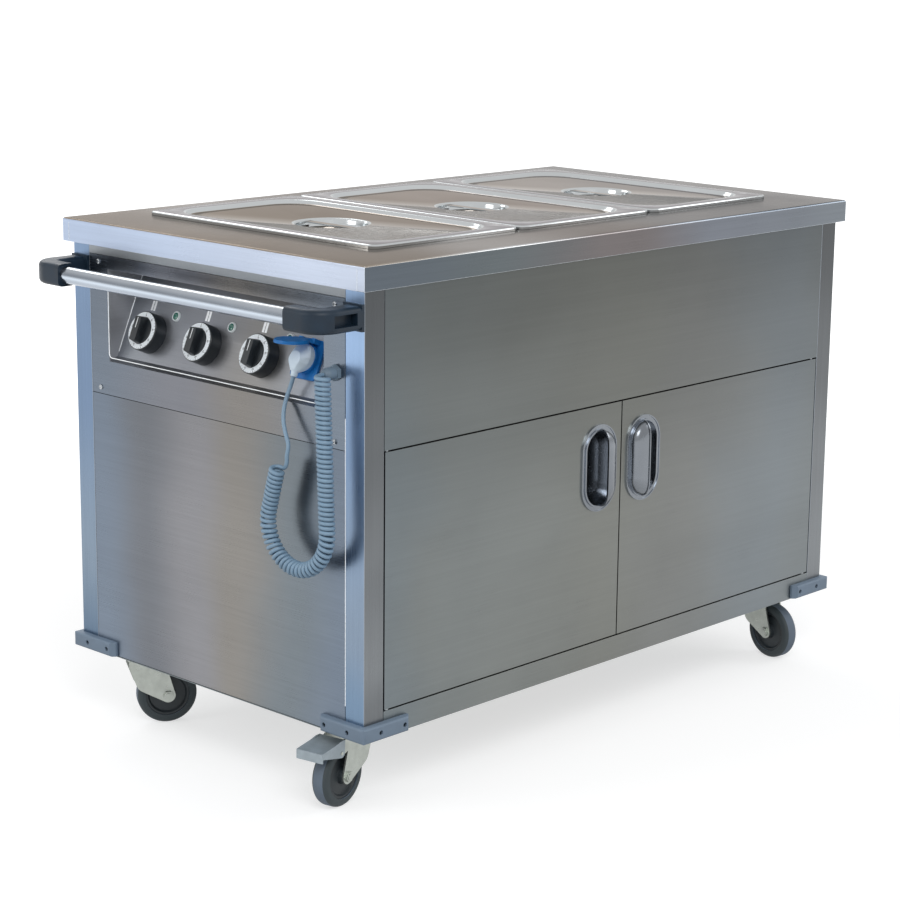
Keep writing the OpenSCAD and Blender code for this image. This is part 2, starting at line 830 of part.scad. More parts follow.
// ---------------------------------------------------------------- lids
// a lid is one pressed sheet: rim, flat border, sunken field and a round dish, with a strap
module lid_form() {
    a = gn_w / 2;
    b = gn_l / 2;
    fa = a - border_w;
    fb = b - border_w;
    d = dish_d / 2;
    t = lid_t;
    zf = rim_h - field_d;
    zd = zf - dish_depth;
    top = [[d - 9, d - 9, d - 11, zd], [d - 4, d - 4, d - 6, zd + 1], [d - 1, d - 1, d - 3, zd + 4],
        [d, d, d - 2, zf - 3], [d + 2, d + 2, d, zf - 0.8], [d + 5, d + 5, d + 2, zf],
        [fa - 8, fb - 8, field_r - 8, zf], [fa - 4, fb - 4, field_r - 4, zf + 0.8],
        [fa - 1.5, fb - 1.5, field_r - 1.5, zf + 2.8], [fa - 0.3, fb - 0.3, field_r, rim_h - 2.6],
        [fa + 1.5, fb + 1.5, field_r + 1, rim_h - 0.8], [fa + 4.5, fb + 4.5, field_r + 2, rim_h],
        [a - 3, b - 3, 15, rim_h], [a - 1, b - 1, 17, rim_h - 0.7], [a, b, 18, rim_h - 2.2], [a, b, 18, 0]];
    low = [[a - t, b - t, 17, 0], [a - t, b - t, 17, rim_h - 2.4], [a - 3, b - 3, 15, rim_h - t],
        [fa + 4.5 + t, fb + 4.5 + t, field_r + 2 + t, rim_h - t], [fa + t, fb + t, field_r + t, rim_h - 3],
        [fa - 4 + t, fb - 4 + t, field_r - 4 + t, zf + 0.6 - t], [fa - 8, fb - 8, field_r - 8, zf - t],
        [d + 5 + t, d + 5 + t, d + 2 + t, zf - t], [d + t, d + t, d - 2 + t, zf - 3 - t],
        [d - 1 + t, d - 1 + t, d - 3 + t, zd + 3.6 - t], [d - 4, d - 4, d - 6, zd + 0.6 - t],
        [d - 9, d - 9, d - 11, zd - t]];
    loft(concat(top, low), 7);
}
module lid(i) {
    zf = rim_h - field_d;
    color(steel) translate([lid_cx(i), lid_cy, total_h + rest]) {
        lid_form();
        // strap across the dish
        translate([-7, -dish_d / 2 + 0.5, zf - 4.5])
            cube([14, dish_d - 1, 2]);
    }
}
module lid_left() { lid(0); }
module lid_middle() { lid(1); }
module lid_right() { lid(2); }

// ---------------------------------------------------------------- knobs, lamps, socket
module knob(k) {
    bore = 15;
    color(dark) on_slope(mid_y + knob_y + k * knob_pitch, knob_z)
        translate([0, 0, rest])
            difference() {
                union() {
                    cylinder(h = knob_h - 1, d = knob_d);
                    translate([0, 0, knob_h - 1])
                        cylinder(h = 1, d1 = knob_d, d2 = knob_d - 2);
                    translate([0, 0, knob_h])
                        difference() {
                            cylinder(h = 0.5, d = knob_d - 3);
                            translate([0, 0, -1])
                                cylinder(h = 3, d = knob_d - 20);
                        }
                    translate([0, 0, knob_h])
                        cylinder(h = 2, d1 = knob_d - 21, d2 = knob_d - 23);
                    intersection() {
                        translate([0, 0, knob_h - 1])
                            cylinder(h = knob_bar + 1, d1 = knob_d - 18, d2 = knob_d - 24);
                        translate([-knob_d / 2, -7, knob_h - 1])
                            cube([knob_d, 14, knob_bar + 1]);
                    }
                }
                translate([0, 0, -1])
                    cylinder(h = bore + 1, d = shaft_d + 2 * run);
            }
}
module knob_rear() { knob(1); }
module knob_middle() { knob(0); }
module knob_front() { knob(-1); }
module thermostats() {
    color([0.6, 0.6, 0.62]) for (k = [-1:1])
        on_slope(mid_y + knob_y + k * knob_pitch, knob_z) {
            translate([-thermo_w / 2, -thermo_w / 2, -sheet - thermo_h])
                cube([thermo_w, thermo_w, thermo_h]);
            translate([0, 0, -sheet])
                cylinder(h = sheet + 14, d = shaft_d);
        }
}
module lamps() {
    color([0.1, 0.5, 0.35]) for (k = [-1:1])
        on_slope(mid_y + knob_y + k * knob_pitch - lamp_off, lamp_z) {
            difference() {
                cylinder(h = 3, d1 = lamp_d, d2 = lamp_d - 1.5);
                translate([0, 0, 1.5])
                    cylinder(h = 3, d = lamp_d - 4.5);
            }
            cylinder(h = 2.6, d = lamp_d - 5.5);
            translate([0, 0, -lamp_l])
                cylinder(h = lamp_l + 1, d = lamp_d - 5.6);
        }
}
hinge_u = socket_h / 2 - 4;
hinge_w = 14;
cup_w = 10;
module socket_base() {
    color([0.1, 0.3, 0.7]) on_slope(mid_y + socket_y, socket_z) {
        difference() {
            union() {
                slab(socket_h, socket_w, 8, 4);
                cylinder(h = cup_w, d = plug_d + 8);
                translate([0, 0, -16])
                    cylinder(h = 17, d = plug_d + 5.4);
                for (s = [-1, 1])
                    translate([hinge_u - 4, s * 14 - 3.7, 0])
                        cube([8, 7.4, hinge_w + 3]);
            }
            translate([0, 0, -14])
                cylinder(h = 40, d = plug_d + 0.6);
        }
        translate([hinge_u, 15, hinge_w])
            rotate([90, 0, 0])
                cylinder(h = 30, d = 3);
    }
}
flap_lean = 20.8;
module socket_flap() {
    r = socket_w / 2 - 1;
    color([0.15, 0.4, 0.8]) on_slope(mid_y + socket_y, socket_z)
        translate([hinge_u, 0, hinge_w])
            rotate([0, -90 - flap_lean, 0])
                difference() {
                    union() {
                        rotate([90, 0, 0])
                            translate([0, 0, -9.5])
                                cylinder(h = 19, d = 7);
                        translate([0, -8, -3.5])
                            cube([10, 16, 3]);
                        translate([r + 6, 0, -4.5])
                            cylinder(h = 3, d1 = 2 * r - 2, d2 = 2 * r);
                        translate([r + 6, 0, -1.5])
                            difference() {
                                cylinder(h = 2, d = 2 * r);
                                translate([0, 0, -1])
                                    cylinder(h = 4, d = 2 * r - 4);
                            }
                    }
                    rotate([90, 0, 0])
                        translate([0, 0, -12])
                            cylinder(h = 24, d = 3 + 2 * run);
                }
}
boot_u = -32;
boot_w = 21;
module plug() {
    color([0.92, 0.93, 0.94]) on_slope(mid_y + socket_y, socket_z) {
        translate([0, 0, -8])
            cylinder(h = cup_w + 8.5, d = plug_d);
        hull() {
            translate([0, 0, cup_w])
                cylinder(h = 9, d = plug_d + 4, $fn = 32);
            translate([-6, 0, cup_w + 16])
                cylinder(h = 4, d = plug_d - 14, $fn = 32);
            translate([boot_u + 8, 0, boot_w])
                rotate([0, 90, 0])
                    cylinder(h = 2, d = 15, $fn = 32);
        }
        translate([boot_u, 0, boot_w])
            rotate([0, 90, 0])
                cylinder(h = 12, d1 = 10, d2 = 13);
    }
}
module cable_gland() {
    color(grey) translate([px, gland_y, gland_z])
        rotate([0, -90, 0]) {
            cylinder(h = 6, d = 25, $fn = 6);
            cylinder(h = gland_l - 7, d = 19);
            translate([0, 0, gland_l - 7])
                cylinder(h = 7, d1 = 19, d2 = 12);
            translate([0, 0, -10])
                cylinder(h = 11, d = 15.4);
            translate([0, 0, -sheet - 4])
                cylinder(h = 4, d = 22, $fn = 6);
        }
}

// ---------------------------------------------------------------- cord
// the coil hangs from the gland in a loop and comes up beside it
cord_x = px - 36;
coil_path = [[-curl_r, 0], [-11.1, -38], [-12.1, -76], [-14.1, -114], [-16.1, -152], [-18.1, -190],
    [-19.1, -228], [-13.1, -265], [10.9, -294], [46.9, -304], [82.9, -293], [105.9, -264],
    [109.9, -227], [102.9, -190], [88.9, -154]];
coil_route = [for (q = coil_path) q + [gland_y, gland_z]];
// a smooth line through the route's points, and its direction
function mixed(a, b, c, d, t) =
    0.5 * (2 * b + (c - a) * t + (2 * a - 5 * b + 4 * c - d) * t * t + (3 * b - a - 3 * c + d) * t * t * t);
function along(r, u) =
    let (n = len(r) - 1, i = min(floor(u), n - 1), t = u - i,
         a = i > 0 ? r[i - 1] : 2 * r[0] - r[1],
         d = i + 2 <= n ? r[i + 2] : 2 * r[n] - r[n - 1])
    mixed(a, r[i], r[i + 1], d, t);
function heading(r, u) =
    let (n = len(r) - 1)
    unit(along(r, min(n, u + 0.01)) - along(r, max(0, u - 0.01)));
// a curl's spoke at route place u and turn angle f
function spoke(u, f) =
    let (h = heading(coil_route, u))
    [-cos(f), -h[1] * sin(f), h[0] * sin(f)];
function curl_point(u, f) =
    let (c = along(coil_route, u))
    [cord_x, c[0], c[1]] + curl_r * spoke(u, f);
turns = curls + 0.75;
curl_n = floor(turns * 8);
spans = len(coil_route) - 1;
curl_f = [for (i = [0:curl_n]) 90 - 360 * turns * i / curl_n];
curl_p = [for (i = [0:curl_n]) curl_point(spans * i / curl_n, curl_f[i])];
curl_s = [for (i = [0:curl_n]) spoke(spans * i / curl_n, curl_f[i])];
gland_face = [px - gland_l, gland_y, gland_z];
out_a = curl_p[curl_n];
out_d = out_a + [0, -11, 14];
out_h = heading(coil_route, spans);
out_b = out_a + 7 * [0, -out_h[1], out_h[0]];
out_c = out_d - [0, 0, 8];
function bend(t) =
    pow(1 - t, 3) * out_a + 3 * pow(1 - t, 2) * t * out_b + 3 * (1 - t) * t * t * out_c + t * t * t * out_d;
coil_end = out_d + [0, 0, cord_d];
coil_p = concat([gland_face, gland_face - [cord_d, 0, 0]], [for (i = [1:curl_n]) curl_p[i]],
    [for (t = [0.2, 0.4, 0.6, 0.8, 1]) bend(t)], [coil_end]);
coil_s = concat([curl_s[0], curl_s[0]], [for (i = [1:curl_n]) curl_s[i]],
    [for (i = [1:6]) curl_s[curl_n]]);
module cord_coil() {
    color(grey) tube_along(coil_p, coil_s, cord_d, 6);
}
near = min([for (i = [0:len(coil_p) - 7], j = [i + 6:min(i + 12, len(coil_p) - 1)])
    norm(coil_p[i] - coil_p[j])]);
echo(least_gap_of_the_coil = near - cord_d);

// the straight lead runs from the coil's end up to the plug
lead_path = [[-23, 78.9, -118], [-20, 88.9, -100], [-17, 95.9, -84], [-12, 99.9, -68],
    [-4, 102.9, -52], [3, 102.9, -38]];
lead_route = [for (q = lead_path) q + [px, gland_y, gland_z]];
function slope_point(y, z, u, w) =
    [slope_x(z) + u * sin(slope_a) - w * cos(slope_a), y, z + u * cos(slope_a) + w * sin(slope_a)];
plug_end = slope_point(mid_y + socket_y, socket_z, boot_u, boot_w);
plug_out = slope_point(mid_y + socket_y, socket_z, boot_u - cord_d, boot_w);
lead_p = concat([coil_end, coil_end + [0, 0, cord_d]], lead_route, [plug_out, plug_end]);
module cord_lead() {
    color(grey) tube_along(lead_p, [for (q = lead_p) [1, 0, 0]], cord_d, 10);
}

// ---------------------------------------------------------------- casters
race_h = 10;
plate_h = 3;
crown_z = caster_h - plate_h - race_h - rest;
crown_t = 4;
head_h = 4;
leg_t = 3;
leg_in = tyre_w / 2 + 4;
axle_z = wheel_d / 2;
swivels = [[px + swivel_x, py + swivel_y], [qx - swivel_x, py + swivel_y],
    [px + swivel_x, qy - swivel_y], [qx - swivel_x, qy - swivel_y]];
headings = [190, -97, 330, 150];
module at_swivel(i) {
    translate([swivels[i][0], swivels[i][1], 0])
        rotate([0, 0, headings[i]])
            children();
}
module caster_plates() {
    color([0.7, 0.72, 0.75]) for (i = [0:3])
        translate([swivels[i][0], swivels[i][1], 0]) {
            translate([0, 0, caster_h - plate_h])
                slab(86, 86, 8, plate_h);
            translate([0, 0, caster_h - plate_h - race_h])
                cylinder(h = race_h, d1 = 56, d2 = 66);
            translate([0, 0, crown_z - crown_t - rest])
                cylinder(h = crown_t + 3 * rest, d = stud_d);
            translate([0, 0, crown_z - crown_t - rest - head_h])
                cylinder(h = head_h, d = stud_d + 8);
        }
}
module leg_outline(brake) {
    hull() {
        translate([trail, axle_z])
            circle(12);
        translate([0, (axle_z + crown_z) / 2 - 4])
            circle(20);
        translate([-30, crown_z - 12])
            square([58, 12]);
    }
    // nose that carries the brake pedal
    if (brake)
        hull() {
            translate([pedal_x, pedal_z])
                circle(7);
            translate([0, crown_z - 12])
                square([38, 12]);
        }
}
module fork(brake) {
    color([0.7, 0.72, 0.75]) difference() {
        union() {
            translate([0, 0, crown_z - crown_t])
                cylinder(h = crown_t, d = 60);
            translate([-27, -leg_in - leg_t, crown_z - crown_t])
                cube([52, 2 * (leg_in + leg_t), crown_t]);
            for (s = [-1, 1])
                translate([0, s < 0 ? -leg_in : leg_in + leg_t, 0])
                    rotate([90, 0, 0])
                        linear_extrude(leg_t)
                            leg_outline(brake);
            translate([trail, leg_in + leg_t + 5, axle_z])
                rotate([90, 0, 0])
                    cylinder(h = 2 * (leg_in + leg_t + 5), d = axle_d);
            for (s = [-1, 1])
                translate([trail, s < 0 ? -leg_in - leg_t : leg_in + leg_t + 4, axle_z])
                    rotate([90, 0, 0])
                        cylinder(h = 4, d = axle_d + 7, $fn = 6);
            if (brake)
                for (s = [-1, 1])
                    translate([pedal_x, s < 0 ? -leg_in - leg_t : leg_in + leg_t + 4, pedal_z])
                        rotate([90, 0, 0])
                            cylinder(h = 4, d = 6);
        }
        translate([0, 0, crown_z - crown_t - 1])
            cylinder(h = crown_t + 2, d = stud_d + 2 * run);
    }
}
module hub() {
    color(dark) translate([trail, 0, axle_z])
        rotate([90, 0, 0])
            rotate_extrude()
                polygon([[axle_d / 2 + run, -leg_in + 0.6], [13, -leg_in + 0.6], [14, -10], [hub_d / 2 - 7, -8],
                    [hub_d / 2 - 4, -12], [hub_d / 2, -12], [hub_d / 2, 12], [hub_d / 2 - 4, 12],
                    [hub_d / 2 - 7, 8], [14, 10], [13, leg_in - 0.6], [axle_d / 2 + run, leg_in - 0.6]]);
}
module tyre() {
    r = 8;
    color(grey) translate([trail, 0, axle_z])
        rotate([90, 0, 0])
            rotate_extrude()
                intersection() {
                    union() {
                        translate([hub_d / 2, -tyre_w / 2])
                            square([wheel_d / 2 - r - hub_d / 2, tyre_w]);
                        translate([hub_d / 2, -tyre_w / 2 + r])
                            square([wheel_d / 2 - hub_d / 2, tyre_w - 2 * r]);
                        for (s = [-1, 1])
                            translate([wheel_d / 2 - r, s * (tyre_w / 2 - r)])
                                circle(r);
                    }
                    translate([hub_d / 2, -tyre_w / 2])
                        square([wheel_d / 2, tyre_w]);
                }
}
pedal_x = trail + 20;
pedal_z = crown_z - 20;
pedal_l = 50;
module pedal() {
    w = leg_in + leg_t + rest + 3;
    color([0.7, 0.72, 0.75]) difference() {
        union() {
            for (s = [-1, 1])
                translate([0, s < 0 ? -w + 3 : w, 0])
                    rotate([90, 0, 0])
                        linear_extrude(3)
                            hull() {
                                translate([pedal_x, pedal_z])
                                    circle(7);
                                translate([pedal_x - 8, crown_z - 3])
                                    square([10, 3]);
                                translate([pedal_x + pedal_l - 5, crown_z - 16])
                                    square([4, 6]);
                            }
            translate([pedal_x - 8, -w, crown_z - 3])
                rotate([0, 7, 0])
                    cube([pedal_l + 8, 2 * w, 3]);
            translate([pedal_x + pedal_l - 2.5, -w, crown_z - 22])
                cube([2.5, 2 * w, 14]);
        }
        for (s = [-1, 1])
            translate([pedal_x, s < 0 ? -w + 4 : w + 1, pedal_z])
                rotate([90, 0, 0])
                    cylinder(h = 5, d = 6 + 2 * run);
    }
}
module fork_front_left() { at_swivel(0) fork(true); }
module fork_front_right() { at_swivel(1) fork(false); }
module fork_rear_left() { at_swivel(2) fork(false); }
module fork_rear_right() { at_swivel(3) fork(true); }
module hub_front_left() { at_swivel(0) hub(); }
module hub_front_right() { at_swivel(1) hub(); }
module hub_rear_left() { at_swivel(2) hub(); }
module hub_rear_right() { at_swivel(3) hub(); }
module tyre_front_left() { at_swivel(0) tyre(); }
module tyre_front_right() { at_swivel(1) tyre(); }
module tyre_rear_left() { at_swivel(2) tyre(); }
module tyre_rear_right() { at_swivel(3) tyre(); }
module pedal_front_left() { at_swivel(0) pedal(); }
module pedal_rear_right() { at_swivel(3) pedal(); }

post_front_left();
post_front_right();
post_rear_left();
post_rear_right();
base_pan();
top_rails();
worktop();
well_left();
well_middle();
well_right();
heating_plates();
front_fascia();
control_panel();
end_panel_left();
end_panel_right();
back_panel();
cupboard_liner();
shelf();
push_bar();
bracket_front();
bracket_rear();
bumper_front_left();
bumper_front_right();
bumper_rear_left();
bumper_rear_right();
screws();
caster_plates();
hinge_pins();
thermostats();
lamps();
socket_base();
cable_gland();
door_left();
door_right();
grip_left();
grip_right();
lid_left();
lid_middle();
lid_right();
knob_rear();
knob_middle();
knob_front();
socket_flap();
cord_lead();
cord_coil();
plug();
fork_front_left();
hub_front_left();
tyre_front_left();
pedal_front_left();
fork_front_right();
hub_front_right();
tyre_front_right();
fork_rear_left();
hub_rear_left();
tyre_rear_left();
fork_rear_right();
hub_rear_right();
tyre_rear_right();
pedal_rear_right();
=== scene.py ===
"""Looks of the hostess trolley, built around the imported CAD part."""
import json
import math

import bpy
import bmesh
from mathutils import Matrix, Vector


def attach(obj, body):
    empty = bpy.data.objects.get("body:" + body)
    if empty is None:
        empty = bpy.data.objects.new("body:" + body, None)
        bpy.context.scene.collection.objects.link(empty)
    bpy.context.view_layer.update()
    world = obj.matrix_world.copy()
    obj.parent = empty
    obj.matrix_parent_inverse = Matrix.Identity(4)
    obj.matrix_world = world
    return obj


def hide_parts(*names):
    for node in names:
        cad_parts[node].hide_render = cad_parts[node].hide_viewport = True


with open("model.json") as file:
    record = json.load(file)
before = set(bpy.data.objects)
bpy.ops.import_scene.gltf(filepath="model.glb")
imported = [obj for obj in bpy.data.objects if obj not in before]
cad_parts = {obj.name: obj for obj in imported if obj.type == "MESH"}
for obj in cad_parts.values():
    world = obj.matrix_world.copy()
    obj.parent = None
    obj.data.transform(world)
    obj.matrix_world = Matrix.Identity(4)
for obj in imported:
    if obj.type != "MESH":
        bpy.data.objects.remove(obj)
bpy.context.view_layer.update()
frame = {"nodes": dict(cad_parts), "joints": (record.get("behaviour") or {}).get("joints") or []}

NODES = frame["nodes"]
JOINTS = {j["name"]: j for j in frame["joints"]}
scene = bpy.context.scene


def mm(*values):
    return Vector([v / 1000 for v in values])


# ---------------------------------------------------------------- places shared with the CAD source, in mm
PX, PY = -544.0, -333.9                             # outer faces of the control end and of the front
MID_Y = 4.1                                         # middle of the cabinet's width
TOP_Z = 856.3                                       # the lids' highest point
SLOPE = math.radians(23.1018)                       # lean of the set-back knob surface
SLOPE_IN, SLOPE_FOOT = 16, 632                      # where its lower edge lies: behind PX, and how high
BAR_Z, BAR_R = 778.3, 13.5                          # the push bar's axis and radius


def slope_x(z):
    return PX + SLOPE_IN + (z - SLOPE_FOOT) * math.tan(SLOPE)


def slope_frame(y, z):
    """Matrix of the sloping knob surface: local X up the slope, local Y along Y, local Z outwards."""
    up = Vector((math.sin(SLOPE), 0, math.cos(SLOPE)))
    side = Vector((0, 1, 0))
    out = Vector((-math.cos(SLOPE), 0, math.sin(SLOPE)))
    m = Matrix((up, side, out)).transposed().to_4x4()
    m.translation = mm(slope_x(z), y, z)
    return m


def slope_point(y, z, u, w):
    """A point u mm up the knob surface from (y, z), and w mm in front of it."""
    return slope_frame(y, z) @ mm(u, 0, w)


# ---------------------------------------------------------------- camera, as fitted to the photograph
HEADING, TILT, ROLL = 41.813, 12.916, 1.067         # degrees
CAMERA_PLACE = (-2895.389, -2773.124, 1364.552)
FOCAL_PX, CENTRE_PX, WIDE_PX = 2385.543, (536.708, 445.297), 900
SENSOR = 36


def add_camera():
    az, el, roll = (math.radians(a) for a in (HEADING, TILT, ROLL))
    fwd = Vector((math.cos(el) * math.cos(az), math.cos(el) * math.sin(az), -math.sin(el)))
    right = Vector((math.sin(az), -math.cos(az), 0))
    up = right.cross(fwd)
    r = math.cos(roll) * right + math.sin(roll) * up
    u = -math.sin(roll) * right + math.cos(roll) * up
    data = bpy.data.cameras.new("camera")
    data.sensor_width = SENSOR
    data.lens = SENSOR * FOCAL_PX / WIDE_PX
    data.shift_x = (WIDE_PX / 2 - CENTRE_PX[0]) / WIDE_PX
    data.shift_y = (CENTRE_PX[1] - WIDE_PX / 2) / WIDE_PX
    data.clip_end = 100
    cam = bpy.data.objects.new("camera", data)
    scene.collection.objects.link(cam)
    m = Matrix((r, u, -fwd)).transposed().to_4x4()
    m.translation = mm(*CAMERA_PLACE)
    cam.matrix_world = m
    scene.camera = cam


add_camera()


# ---------------------------------------------------------------- materials
class Mat:
    """A procedural material around one Principled shader; sockets are joined with a few short calls."""

    def __init__(self, name, rough, metallic):
        self.m = bpy.data.materials.new(name)
        self.m.use_nodes = True
        self.nt = self.m.node_tree
        self.nt.nodes.clear()
        self.out = self.add("ShaderNodeOutputMaterial")
        self.b = self.add("ShaderNodeBsdfPrincipled")
        self.b.inputs["Roughness"].default_value = rough
        self.b.inputs["Metallic"].default_value = metallic
        self.join(self.b.outputs[0], self.out.inputs["Surface"])
        self.coord = self.add("ShaderNodeTexCoord").outputs["Object"]
        xyz = self.add("ShaderNodeSeparateXYZ")
        self.join(self.coord, xyz.inputs[0])
        self.xyz = xyz.outputs

    def add(self, kind, **settings):
        n = self.nt.nodes.new(kind)
        for key, value in settings.items():
            setattr(n, key, value)
        return n

    def join(self, a, b):
        self.nt.links.new(a, b)

    def mapped(self, scale):
        n = self.add("ShaderNodeMapping")
        n.inputs["Scale"].default_value = scale
        self.join(self.coord, n.inputs["Vector"])
        return n.outputs[0]

    def noise(self, scale, detail=3.0, vector=None, rough=0.55):
        n = self.add("ShaderNodeTexNoise")
        n.inputs["Scale"].default_value = scale
        n.inputs["Detail"].default_value = detail
        n.inputs["Roughness"].default_value = rough
        self.join(vector or self.coord, n.inputs["Vector"])
        return n.outputs["Fac"]

    def span(self, value, low, high, start=0.3, end=0.7):
        n = self.add("ShaderNodeMapRange")
        n.inputs["From Min"].default_value = start
        n.inputs["From Max"].default_value = end
        n.inputs["To Min"].default_value = low
        n.inputs["To Max"].default_value = high
        self.join(value, n.inputs["Value"])
        return n.outputs[0]

    def math(self, kind, a, b):
        n = self.add("ShaderNodeMath", operation=kind)
        for i, v in enumerate((a, b)):
            if hasattr(v, "links"):
                self.join(v, n.inputs[i])
            else:
                n.inputs[i].default_value = v
        return n.outputs[0]

    def mix(self, fac, a, b, kind="MIX"):
        n = self.add("ShaderNodeMix", data_type="RGBA", blend_type=kind)
        for socket, v in ((n.inputs[0], fac), (n.inputs[6], a), (n.inputs[7], b)):
            if hasattr(v, "links"):
                self.join(v, socket)
            elif isinstance(v, (int, float)):
                socket.default_value = v
            else:
                socket.default_value = (*v, 1)
        return n.outputs[2]

    def zones(self, axis, stops, sway=0.06):
        """Soft zones along an axis, whose edges wander a little. Stops are (place in mm, colour or brightness)."""
        low, high = stops[0][0], stops[-1][0]
        lie = self.span(self.xyz[axis], 0, 1, low / 1000, high / 1000)
        lie = self.math("ADD", lie, self.span(self.noise(2.6, 2.0), -sway, sway))
        n = self.add("ShaderNodeValToRGB")
        ramp = n.color_ramp
        ramp.interpolation = "EASE"
        for i, (place, tone) in enumerate(stops):
            at = (place - low) / (high - low)
            if i == 0:
                e = ramp.elements[0]
            elif i == len(stops) - 1:
                e = ramp.elements[-1]
            else:
                e = ramp.elements.new(at)
            e.position = at
            e.color = (*tone, 1) if isinstance(tone, tuple) else (tone, tone, tone, 1)
        self.join(lie, n.inputs[0])
        return n.outputs["Color"]

    def colour(self, socket):
        self.join(socket, self.b.inputs["Base Color"])

    def rough(self, socket):
        self.join(socket, self.b.inputs["Roughness"])

    def bump(self, height, strength, distance):
        n = self.add("ShaderNodeBump")
        n.inputs["Strength"].default_value = strength
        n.inputs["Distance"].default_value = distance
        self.join(height, n.inputs["Height"])
        self.join(n.outputs[0], self.b.inputs["Normal"])


# direction of the brushing: lines of about half a millimetre, drawn out along one axis
GRAIN = {"X": (9, 1500, 1500), "Y": (1500, 9, 1500), "Z": (1500, 1500, 9), "NONE": (240, 240, 240)}


def steel(name, base=(1, 1, 1), along=None, up=None, grain="X", rough=0.3, edge=(1, 1, 1), aniso=0.0,
          mottle=0.05, line=0.05, sway=0.06, metal=1.0, fine_bump=0.05):
    """Stainless steel. along and up are (axis, stops): broad soft tones of painted reflection and painted shade on
    the sheets.
    """
    a = Mat(name, rough, metal)
    a.b.inputs["Specular Tint"].default_value = (*edge, 1)
    a.b.inputs["Anisotropic"].default_value = aniso
    a.b.inputs["Anisotropic Rotation"].default_value = 0.25
    fine = a.noise(1.0, 3.0, a.mapped(GRAIN[grain]), 0.6)
    streak = a.noise(1.0, 2.0, a.mapped(tuple(g / 7 for g in GRAIN[grain])), 0.5)
    cloud = a.noise(5.5, 3.0)
    soft_line = line * 0.6
    shade = a.math("MULTIPLY", a.span(fine, 1 - line, 1 + line), a.span(streak, 1 - soft_line, 1 + soft_line))
    shade = a.math("MULTIPLY", shade, a.span(cloud, 1 - mottle, 1 + mottle))
    tone = a.mix(1.0, base, shade, "MULTIPLY")
    for zone in (along, up):
        if zone:
            tone = a.mix(1.0, tone, a.zones(*zone, sway=sway), "MULTIPLY")
    a.colour(tone)
    worn = a.span(a.noise(11.0, 3.0), -0.02, 0.03, 0.4, 0.65)
    a.rough(a.math("ADD", a.span(fine, rough - 0.03, rough + 0.03), worn))
    a.bump(fine, fine_bump, 0.0002)
    return a.m


def plastic(name, colour, rough=0.5, scale=900, strength=0.15, shade=0.12, coat=0.0, gloss=0.5):
    """Moulded plastic or rubber: a fine grain, faint clouds and a little wear in the gloss."""
    a = Mat(name, rough, 0.0)
    a.b.inputs["Coat Weight"].default_value = coat
    a.b.inputs["Specular IOR Level"].default_value = gloss
    soft = a.noise(30, 3.0)
    dark = tuple(c * (1 - shade) for c in colour)
    light = tuple(min(1, c * (1 + shade)) for c in colour)
    a.colour(a.mix(a.span(soft, 0, 1), dark, light))
    a.rough(a.span(soft, rough - 0.06, rough + 0.08))
    a.bump(a.noise(scale, 2.0), strength, 0.0002)
    return a.m


def zinc(name, colour, rough=0.32, metal=0.85):
    """Zinc-plated steel sheet, slightly cloudy."""
    a = Mat(name, rough, metal)
    cloud = a.noise(60, 4.0)
    a.colour(a.mix(a.span(cloud, 0, 1), tuple(c * 0.82 for c in colour), colour))
    a.rough(a.span(a.noise(140, 3.0), rough - 0.06, rough + 0.1))
    a.bump(a.noise(400, 3.0), 0.08, 0.0002)
    return a.m


# painted reflections and painted shade on the sheets: reflections cool at the ends and warmer in the middle,
# painted shade darker under the worktop
FRONT_SHADE_UP = ("Z", [(150, 0.200), (330, 0.186), (590, 0.130), (800, 0.096)])
FRONT_REFLECTION_ALONG = ("X", [(-544, (0.93, 1.06, 1.12)), (-380, (0.99, 1.07, 1.06)), (20, (1.0, 1.03, 0.96)),
                     (190, (0.99, 1.02, 0.99)), (480, (0.97, 1.08, 1.15)), (622, (0.96, 1.05, 1.08))])
# painted reflection on the end panels: a lighter zone in the middle, darker towards the top
END_REFLECTION_ALONG = ("Y", [(-300, (0.160, 0.195, 0.245)), (-180, (0.165, 0.190, 0.210)), (-40, (0.225, 0.214, 0.199)),
                   (40, (0.225, 0.225, 0.238)), (160, (0.150, 0.160, 0.178)), (300, (0.160, 0.195, 0.245))])
END_REFLECTION_UP = ("Z", [(150, 1.14), (300, 1.07), (600, 0.83)])
# painted reflection on the control panel and on its sloping knob surface
PANEL_REFLECTION_ALONG = ("Y", [(-300, (0.15, 0.18, 0.22)), (-60, (0.185, 0.175, 0.165)), (70, (0.165, 0.170, 0.190)),
                     (300, (0.13, 0.155, 0.19))])
SLOPE_REFLECTION_ALONG = ("Y", [(-250, (0.24, 0.27, 0.32)), (-60, (0.25, 0.245, 0.24)), (70, (0.24, 0.25, 0.275)),
                     (256, (0.28, 0.30, 0.33))])
# painted shade on the posts' front faces, darker towards the worktop; painted reflection on their end faces, and
# for the near post a lighter copy, painted light against the shadow of the cord and the bracket
POST_SHADE_UP = ("Z", [(150, 0.175), (230, 0.215), (380, 0.170), (560, 0.115), (800, 0.078)])
POST_END_REFLECTION_UP = ("Z", [(150, (0.125, 0.185, 0.265)), (280, (0.215, 0.275, 0.350)), (600, (0.140, 0.200, 0.300)),
                     (800, (0.190, 0.270, 0.400))])
POST_NEAR_LIT_UP = ("Z", [(150, (0.190, 0.280, 0.400)), (280, (0.235, 0.300, 0.390)), (600, (0.190, 0.275, 0.415)),
                      (800, (0.270, 0.385, 0.570))])
